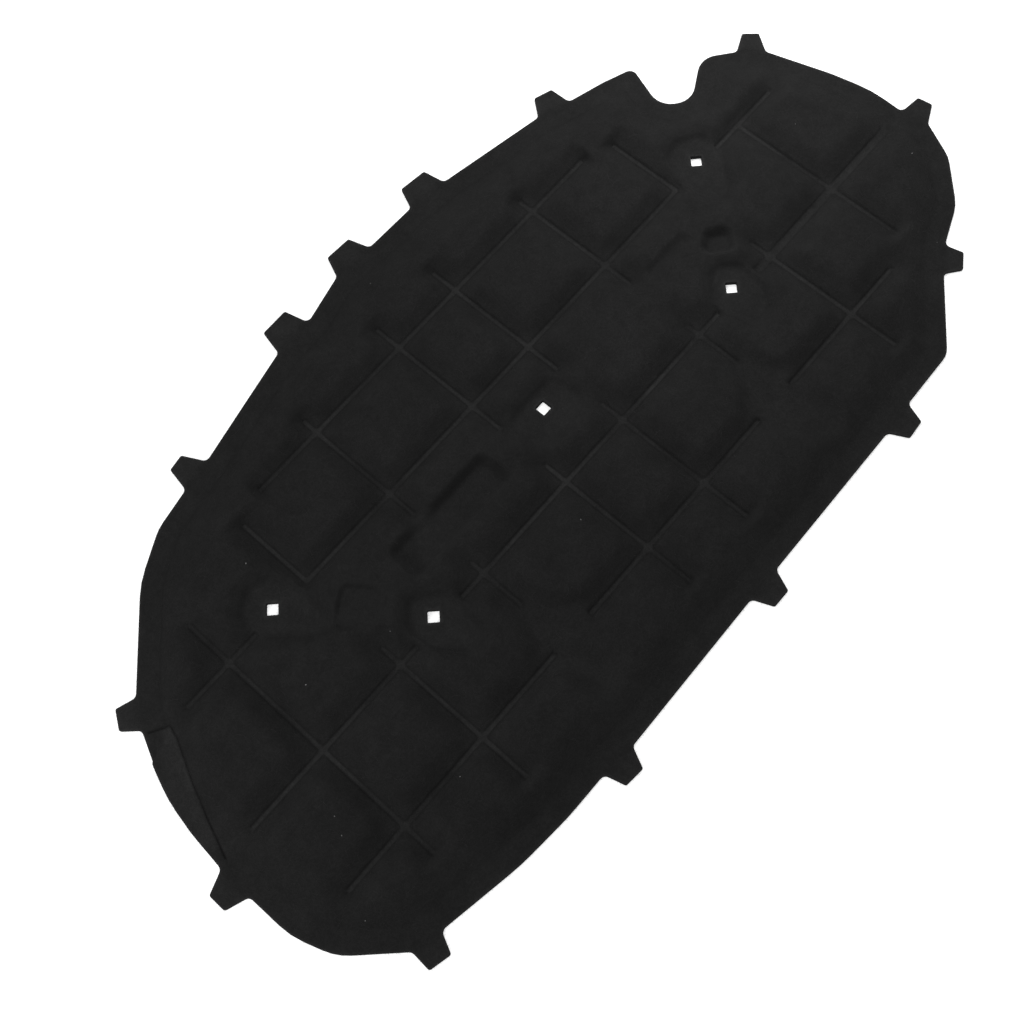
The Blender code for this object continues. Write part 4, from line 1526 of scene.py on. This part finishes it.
class FibreTrees:
    """The Geometry Nodes trees for what grows or lies on the pad, each built once."""

    fibre_bends = ((0.10, 0.32), (0.30, 0.12), (-0.12, 0.40))
    fibre_middle = 0.5
    fibre_top = 0.9
    fibre_sides = 3
    fibre_runs = 4
    sizes = (0.55, 1.25)
    lint_shapes = ((1.5, 0.5), (1.0, 0.7), (2.1, 0.4))
    lint_splits = 2
    lint_lean = 0.3

    def __init__(self) -> None:
        """Builds both trees."""
        self.fibres = self.fibre_tree()
        self.lint = self.lint_tree()

    def bent_fibres(self, wiring: Wiring, length: object, radius: object) -> Socket:
        """Draws a few differently bent fibres that stand on the origin.

        Args:
            wiring: The tree's wiring.
            length: The fibres' length.
            radius: The fibres' radius.

        Returns:
            The fibres as separate instances.
        """
        circle = {"Resolution": self.fibre_sides, "Radius": radius}
        profile = wiring.add("GeometryNodeCurvePrimitiveCircle", circle).outputs[0]
        joined = wiring.add("GeometryNodeJoinGeometry")
        for bend, tip in self.fibre_bends:
            middle, end = (
                wiring.add(
                    "ShaderNodeCombineXYZ",
                    {axis: wiring.math("MULTIPLY", length, share) for axis, share in enumerate(shares)},
                ).outputs[0]
                for shares in ((bend, 0.0, self.fibre_middle), (tip, bend / 2, self.fibre_top))
            )
            points = {"Resolution": self.fibre_runs, "Start": (0.0, 0.0, 0.0), "Middle": middle, "End": end}
            curve = wiring.add("GeometryNodeCurveQuadraticBezier", points).outputs[0]
            inputs = {"Curve": curve, "Profile Curve": profile}
            tube = wiring.add("GeometryNodeCurveToMesh", inputs).outputs[0]
            fibre = wiring.add("GeometryNodeGeometryToInstance", {0: tube}).outputs[0]
            wiring.tree.links.new(fibre, joined.inputs[0])
        return joined.outputs[0]

    def spread_out(
        self, wiring: Wiring, into: bpy.types.Node, points: object, shape: object, base: object, lean: tuple
    ) -> None:
        """Sets shapes on points, turned and sized at random, and ends the tree.

        Args:
            wiring: The tree's wiring.
            into: The tree's input node.
            points: The points.
            shape: The shapes, as instances to pick from.
            base: Each point's own rotation, or None.
            lean: The least and the greatest lean from the point's own axis.
        """
        seed = into.outputs["Seed"]
        low = wiring.add("ShaderNodeCombineXYZ", {0: lean[0], 2: -math.pi}).outputs[0]
        high = wiring.add("ShaderNodeCombineXYZ", {0: lean[1], 2: math.pi}).outputs[0]
        inputs = {0: low, 1: high, 8: seed}
        turn = wiring.add("FunctionNodeRandomValue", inputs, data_type="FLOAT_VECTOR").outputs[0]
        turn = wiring.add("FunctionNodeEulerToRotation", {0: turn}).outputs[0]
        if base is not None:
            turned = wiring.add("FunctionNodeRotateRotation", {0: base, 1: turn}, rotation_space="LOCAL")
            turn = turned.outputs[0]
        inputs = {2: self.sizes[0], 3: self.sizes[1], 8: seed}
        size = wiring.add("FunctionNodeRandomValue", inputs, data_type="FLOAT").outputs[1]
        inputs = {4: 0, 5: len(self.fibre_bends) - 1, 8: seed}
        pick = wiring.add("FunctionNodeRandomValue", inputs, data_type="INT").outputs[2]
        inputs = {"Points": points, "Instance": shape, "Pick Instance": True, "Instance Index": pick}
        inputs |= {"Rotation": turn, "Scale": size}
        placed = wiring.add("GeometryNodeInstanceOnPoints", inputs).outputs[0]
        real = wiring.add("GeometryNodeRealizeInstances", {0: placed}).outputs[0]
        done = wiring.add("GeometryNodeSetMaterial", {"Geometry": real, "Material": into.outputs["Finish"]})
        wiring.add("NodeGroupOutput", {0: done.outputs[0]})

    def fibre_tree(self) -> bpy.types.NodeTree:
        """Builds the tree of bent fibres that grow from a surface.

        Returns:
            The tree.
        """
        wiring = new_group(
            "stray_fibres",
            "GeometryNodeTree",
            {
                "Geometry": ("NodeSocketGeometry", None),
                "Density": ("NodeSocketFloat", 1000.0),
                "Length": ("NodeSocketFloat", 0.010),
                "Radius": ("NodeSocketFloat", 0.00006),
                "Least Lean": ("NodeSocketFloat", 0.0),
                "Greatest Lean": ("NodeSocketFloat", 1.0),
                "Seed": ("NodeSocketInt", 1),
                "Finish": ("NodeSocketMaterial", None),
            },
            {"Geometry": "NodeSocketGeometry"},
        )
        into = wiring.add("NodeGroupInput")
        inputs = {"Mesh": into.outputs["Geometry"]}
        inputs |= {name: into.outputs[name] for name in ("Density", "Seed")}
        spread = wiring.add("GeometryNodeDistributePointsOnFaces", inputs, distribute_method="RANDOM")
        shape = self.bent_fibres(wiring, into.outputs["Length"], into.outputs["Radius"])
        lean = (into.outputs["Least Lean"], into.outputs["Greatest Lean"])
        self.spread_out(wiring, into, spread.outputs["Points"], shape, spread.outputs["Rotation"], lean)
        return wiring.tree

    def lint_tree(self) -> bpy.types.NodeTree:
        """Builds the tree of small tufts of lint, one on each point of a mesh.

        Returns:
            The tree.
        """
        wiring = new_group(
            "lint_specks",
            "GeometryNodeTree",
            {
                "Geometry": ("NodeSocketGeometry", None),
                "Size": ("NodeSocketFloat", 0.0006),
                "Seed": ("NodeSocketInt", 1),
                "Finish": ("NodeSocketMaterial", None),
            },
            {"Geometry": "NodeSocketGeometry"},
        )
        into = wiring.add("NodeGroupInput")
        size = into.outputs["Size"]
        joined = wiring.add("GeometryNodeJoinGeometry")
        for width, height in self.lint_shapes:
            inputs = {"Radius": size, "Subdivisions": self.lint_splits}
            ball = wiring.add("GeometryNodeMeshIcoSphere", inputs).outputs[0]
            inputs = {"Geometry": ball, "Scale": (width, 1.0, height)}
            flat = wiring.add("GeometryNodeTransform", inputs).outputs[0]
            tuft = wiring.add("GeometryNodeGeometryToInstance", {0: flat}).outputs[0]
            wiring.tree.links.new(tuft, joined.inputs[0])
        points = wiring.add("GeometryNodeMeshToPoints", {"Mesh": into.outputs["Geometry"]}).outputs[0]
        self.spread_out(wiring, into, points, joined.outputs[0], None, (-self.lint_lean, self.lint_lean))
        return wiring.tree


def grown(name: str, carrier: bpy.types.Mesh, tree: bpy.types.NodeTree, values: dict) -> bpy.types.Object:
    """Runs a Geometry Nodes tree on a mesh and keeps what it makes, raised where it sank under the floor.

    Args:
        name: The new object's name.
        carrier: The mesh that the tree works on.
        tree: The tree.
        values: Values for its inputs, by name.

    Returns:
        The new object, at the origin.
    """
    host = new_object(f"{name}_carrier", carrier)
    modifier = host.modifiers.new(name, "NODES")
    modifier.node_group = tree
    items = tree.interface.items_tree
    identifiers = {item.name: item.identifier for item in items if item.in_out == "INPUT"}
    for label, value in values.items():
        modifier[identifiers[label]] = value
    evaluated = host.evaluated_get(bpy.context.evaluated_depsgraph_get())
    mesh = bpy.data.meshes.new_from_object(evaluated)
    mesh.name = name
    bpy.data.objects.remove(host)
    places = np.empty(3 * len(mesh.vertices), dtype=np.float32)
    mesh.vertices.foreach_get("co", places)
    heights = places[2::3]
    places[2::3] = np.where(heights < 0.0, heights * SUNK_SHARE, heights)
    mesh.vertices.foreach_set("co", places)
    return new_object(name, mesh)


@dataclass(frozen=True)
class FibreGrowth:
    """How one kind of loose fibre grows: how many to the square metre, how long, thick and leaning."""

    name: str
    density: float
    length: float
    radius: float
    least_lean: float
    greatest_lean: float
    seed: int
    finish: FibreFinish

    def build(self, carrier: bpy.types.Mesh, trees: FibreTrees, effects: ShaderEffects) -> bpy.types.Object:
        """Grows the fibres on a mesh.

        Args:
            carrier: The mesh that they grow from.
            trees: The shared Geometry Nodes trees.
            effects: The shared node groups of the finishes.

        Returns:
            The fibres as one object.
        """
        values = {
            "Density": self.density,
            "Length": self.length,
            "Radius": self.radius,
            "Least Lean": math.radians(self.least_lean),
            "Greatest Lean": math.radians(self.greatest_lean),
            "Seed": self.seed,
            "Finish": self.finish.material(effects),
        }
        return grown(self.name, carrier, trees.fibres, values)


@dataclass
class LooseFibre:
    """All that is loose on the pad: lying fibres, the fuzz of the cut edges, and specks of lint."""

    lying: FibreGrowth = FibreGrowth(
        "lying_fibres", 4200.0, 0.0110, 0.00005, 74.0, 88.0, 11, FibreFinish("loose_fibre", 0.010, 0.028)
    )
    fuzz: FibreGrowth = FibreGrowth(
        "edge_fuzz", 260000.0, 0.0026, 0.00006, 0.0, 62.0, 23, FibreFinish("edge_fibre", 0.020, 0.060)
    )
    lint_finish: FibreFinish = FibreFinish("pale_lint", 0.10, 0.34)
    lint_size: float = 0.00045
    lint_seed: int = 5
    lint_places: tuple[Place, ...] = (
        (0.484, 0.009),
        (0.543, -0.123),
        (0.467, -0.216),
        (-0.355, 0.128),
        (-0.408, -0.017),
        (-0.306, -0.045),
        (-0.486, -0.135),
        (-0.495, -0.154),
        (-0.371, -0.205),
        (-0.540, -0.228),
        (-0.076, -0.120),
        (-0.011, 0.264),
    )
    pieces: list[bpy.types.Object] = field(default_factory=list)

    def build(self, pad: QuiltedPad, effects: ShaderEffects) -> None:
        """Grows every piece.

        Args:
            pad: The pad that they lie on.
            effects: The shared node groups of the finishes.
        """
        trees = FibreTrees()
        self.pieces.append(self.lying.build(pad.face_mesh, trees, effects))
        self.pieces.append(self.fuzz.build(pad.edge_mesh, trees, effects))
        spots = bpy.data.meshes.new("lint_places")
        spots.from_pydata(pad.on_face(self.lint_places), [], [])
        finish = self.lint_finish.material(effects)
        values = {"Size": self.lint_size, "Seed": self.lint_seed, "Finish": finish}
        self.pieces.append(grown("lint", spots, trees.lint, values))

    def dress(self) -> None:
        """Says what the pieces belong to."""
        for piece in self.pieces:
            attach(piece, BODY)


# The stage


@dataclass(frozen=True)
class SoftLamp:
    """A square lamp that lights the place it is aimed at by a share of the plain level."""

    name: str
    place: tuple[float, float, float]
    aim: tuple[float, float, float]
    size: float
    level: float
    spread: float = 180.0

    def build(self) -> None:
        """Hangs the lamp and aims it."""
        data = bpy.data.lights.new(self.name, "AREA")
        data.shape = "SQUARE"
        data.size = self.size
        spread = math.radians(self.spread)
        data.spread = spread
        back = Vector(self.place) - Vector(self.aim)
        tilt = back.z / back.length
        half = spread / 2.0
        gathered = math.tan(half) / (math.tan(half) - half)
        data.energy = self.level * math.pi**2 * back.length_squared / (tilt * gathered)
        lamp = bpy.data.objects.new(self.name, data)
        lamp.visible_camera = False
        lamp.location = self.place
        lamp.rotation_euler = back.to_track_quat("Z", "Y").to_euler()
        bpy.context.scene.collection.objects.link(lamp)


@dataclass(frozen=True)
class PhotoCamera:
    """The photograph's own view of the pad."""

    place: tuple[float, float, float] = (-0.39570, -0.36734, 1.28407)
    aim: tuple[float, float, float] = (-0.11224, -0.04686, 0.0)
    up: tuple[float, float, float] = (0.72262, 0.61616, 0.31331)
    lens: float = 42.3136
    clip_end: float = 50.0

    def build(self) -> None:
        """Sets the scene's camera."""
        data = bpy.data.cameras.new("photo_camera")
        data.lens = self.lens
        data.clip_end = self.clip_end
        camera = bpy.data.objects.new("photo_camera", data)
        back = (Vector(self.place) - Vector(self.aim)).normalized()
        right = Vector(self.up).cross(back).normalized()
        up = back.cross(right)
        turn = Matrix((right, up, back)).transposed()
        camera.matrix_world = Matrix.Translation(Vector(self.place)) @ turn.to_4x4()
        bpy.context.scene.collection.objects.link(camera)
        bpy.context.scene.camera = camera


@dataclass(frozen=True)
class Studio:
    """White floor, plain soft light and the camera."""

    floor_half: float = 4.0
    floor_gap: float = 0.0003
    floor_grey: float = 0.80
    floor_lift: float = 0.66
    sky_level: float = 0.36
    lamps: tuple[SoftLamp, ...] = (
        SoftLamp("bank", (-0.05, 0.50, 1.00), (-0.05, 0.20, 0.0), 0.6, 0.08),
        SoftLamp("corner", (0.71, 0.31, 0.79), (0.45, 0.05, 0.0), 0.4, 0.96, 120.0),
        SoftLamp("left_lamp", (-0.55, 0.12, 0.90), (-0.50, 0.05, 0.0), 0.5, 0.12),
        SoftLamp("side_lamp", (-1.30, 0.10, 0.70), (0.0, 0.0, 0.0), 0.6, 0.12),
    )
    camera: PhotoCamera = PhotoCamera()

    def floor_material(self) -> bpy.types.Material:
        """A white floor that keeps the pad's shadow and reaches pure white only for the camera's rays."""
        material, wiring, _ = new_material("white_floor")
        wiring.tree.nodes.clear()
        diffuse = wiring.add("ShaderNodeBsdfDiffuse", {"Color": grey(self.floor_grey)}).outputs[0]
        seen = wiring.add("ShaderNodeLightPath").outputs["Is Camera Ray"]
        lift = wiring.math("MULTIPLY", seen, self.floor_lift)
        glow = wiring.add("ShaderNodeEmission", {"Strength": lift}).outputs[0]
        both = wiring.add("ShaderNodeAddShader", {0: diffuse, 1: glow}).outputs[0]
        wiring.add("ShaderNodeOutputMaterial", {0: both})
        return material

    def build_floor(self) -> None:
        """Lays the floor just under the pad's back."""
        half, drop = self.floor_half, -self.floor_gap
        corners = [(-half, -half, drop), (half, -half, drop), (half, half, drop), (-half, half, drop)]
        mesh = bpy.data.meshes.new("floor")
        mesh.from_pydata(corners, [], [(0, 1, 2, 3)])
        mesh.materials.append(self.floor_material())
        new_object("floor", mesh)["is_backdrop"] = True

    def build_sky(self) -> None:
        """Plain light from all round, white where the camera sees it."""
        world = bpy.data.worlds.new("soft_white")
        world.use_nodes = True
        wiring = Wiring(world.node_tree)
        seen = wiring.add("ShaderNodeLightPath").outputs["Is Camera Ray"]
        strength = wiring.math("MULTIPLY_ADD", seen, 1.0 - self.sky_level, self.sky_level)
        wiring.feed(world.node_tree.nodes["Background"], {"Color": grey(1.0), "Strength": strength})
        bpy.context.scene.world = world

    def build(self) -> None:
        """Builds floor, sky, lamps and camera."""
        self.build_floor()
        self.build_sky()
        for lamp in self.lamps:
            lamp.build()
        self.camera.build()
        bpy.context.scene.view_settings.view_transform = "Standard"


def report(piece: bpy.types.Object) -> None:
    """Logs a finished piece and how many triangles it has."""
    count = sum(len(face.vertices) - 2 for face in piece.data.polygons)
    LOG.info("%s: %d triangles", piece.name, count)


def write_sizes() -> None:
    """Works out the solid's box and the visible model's box as plain lists."""
    boxes = {"cad": CAD_BOX, "visual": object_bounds()}
    plain = {name: [list(corner) for corner in box] for name, box in boxes.items()}


def main() -> None:
    """Builds the stage and the pad with all that lies on it."""
    logging.basicConfig(level=logging.INFO, format="%(message)s")
    Studio().build()
    effects = ShaderEffects()
    pad = QuiltedPad()
    pad.build()
    pad.dress(effects)
    loose = LooseFibre()
    loose.build(pad, effects)
    loose.dress()
    for piece in (pad.piece, *loose.pieces):
        report(piece)


if __name__ == "__main__":
    main()
    write_sizes()
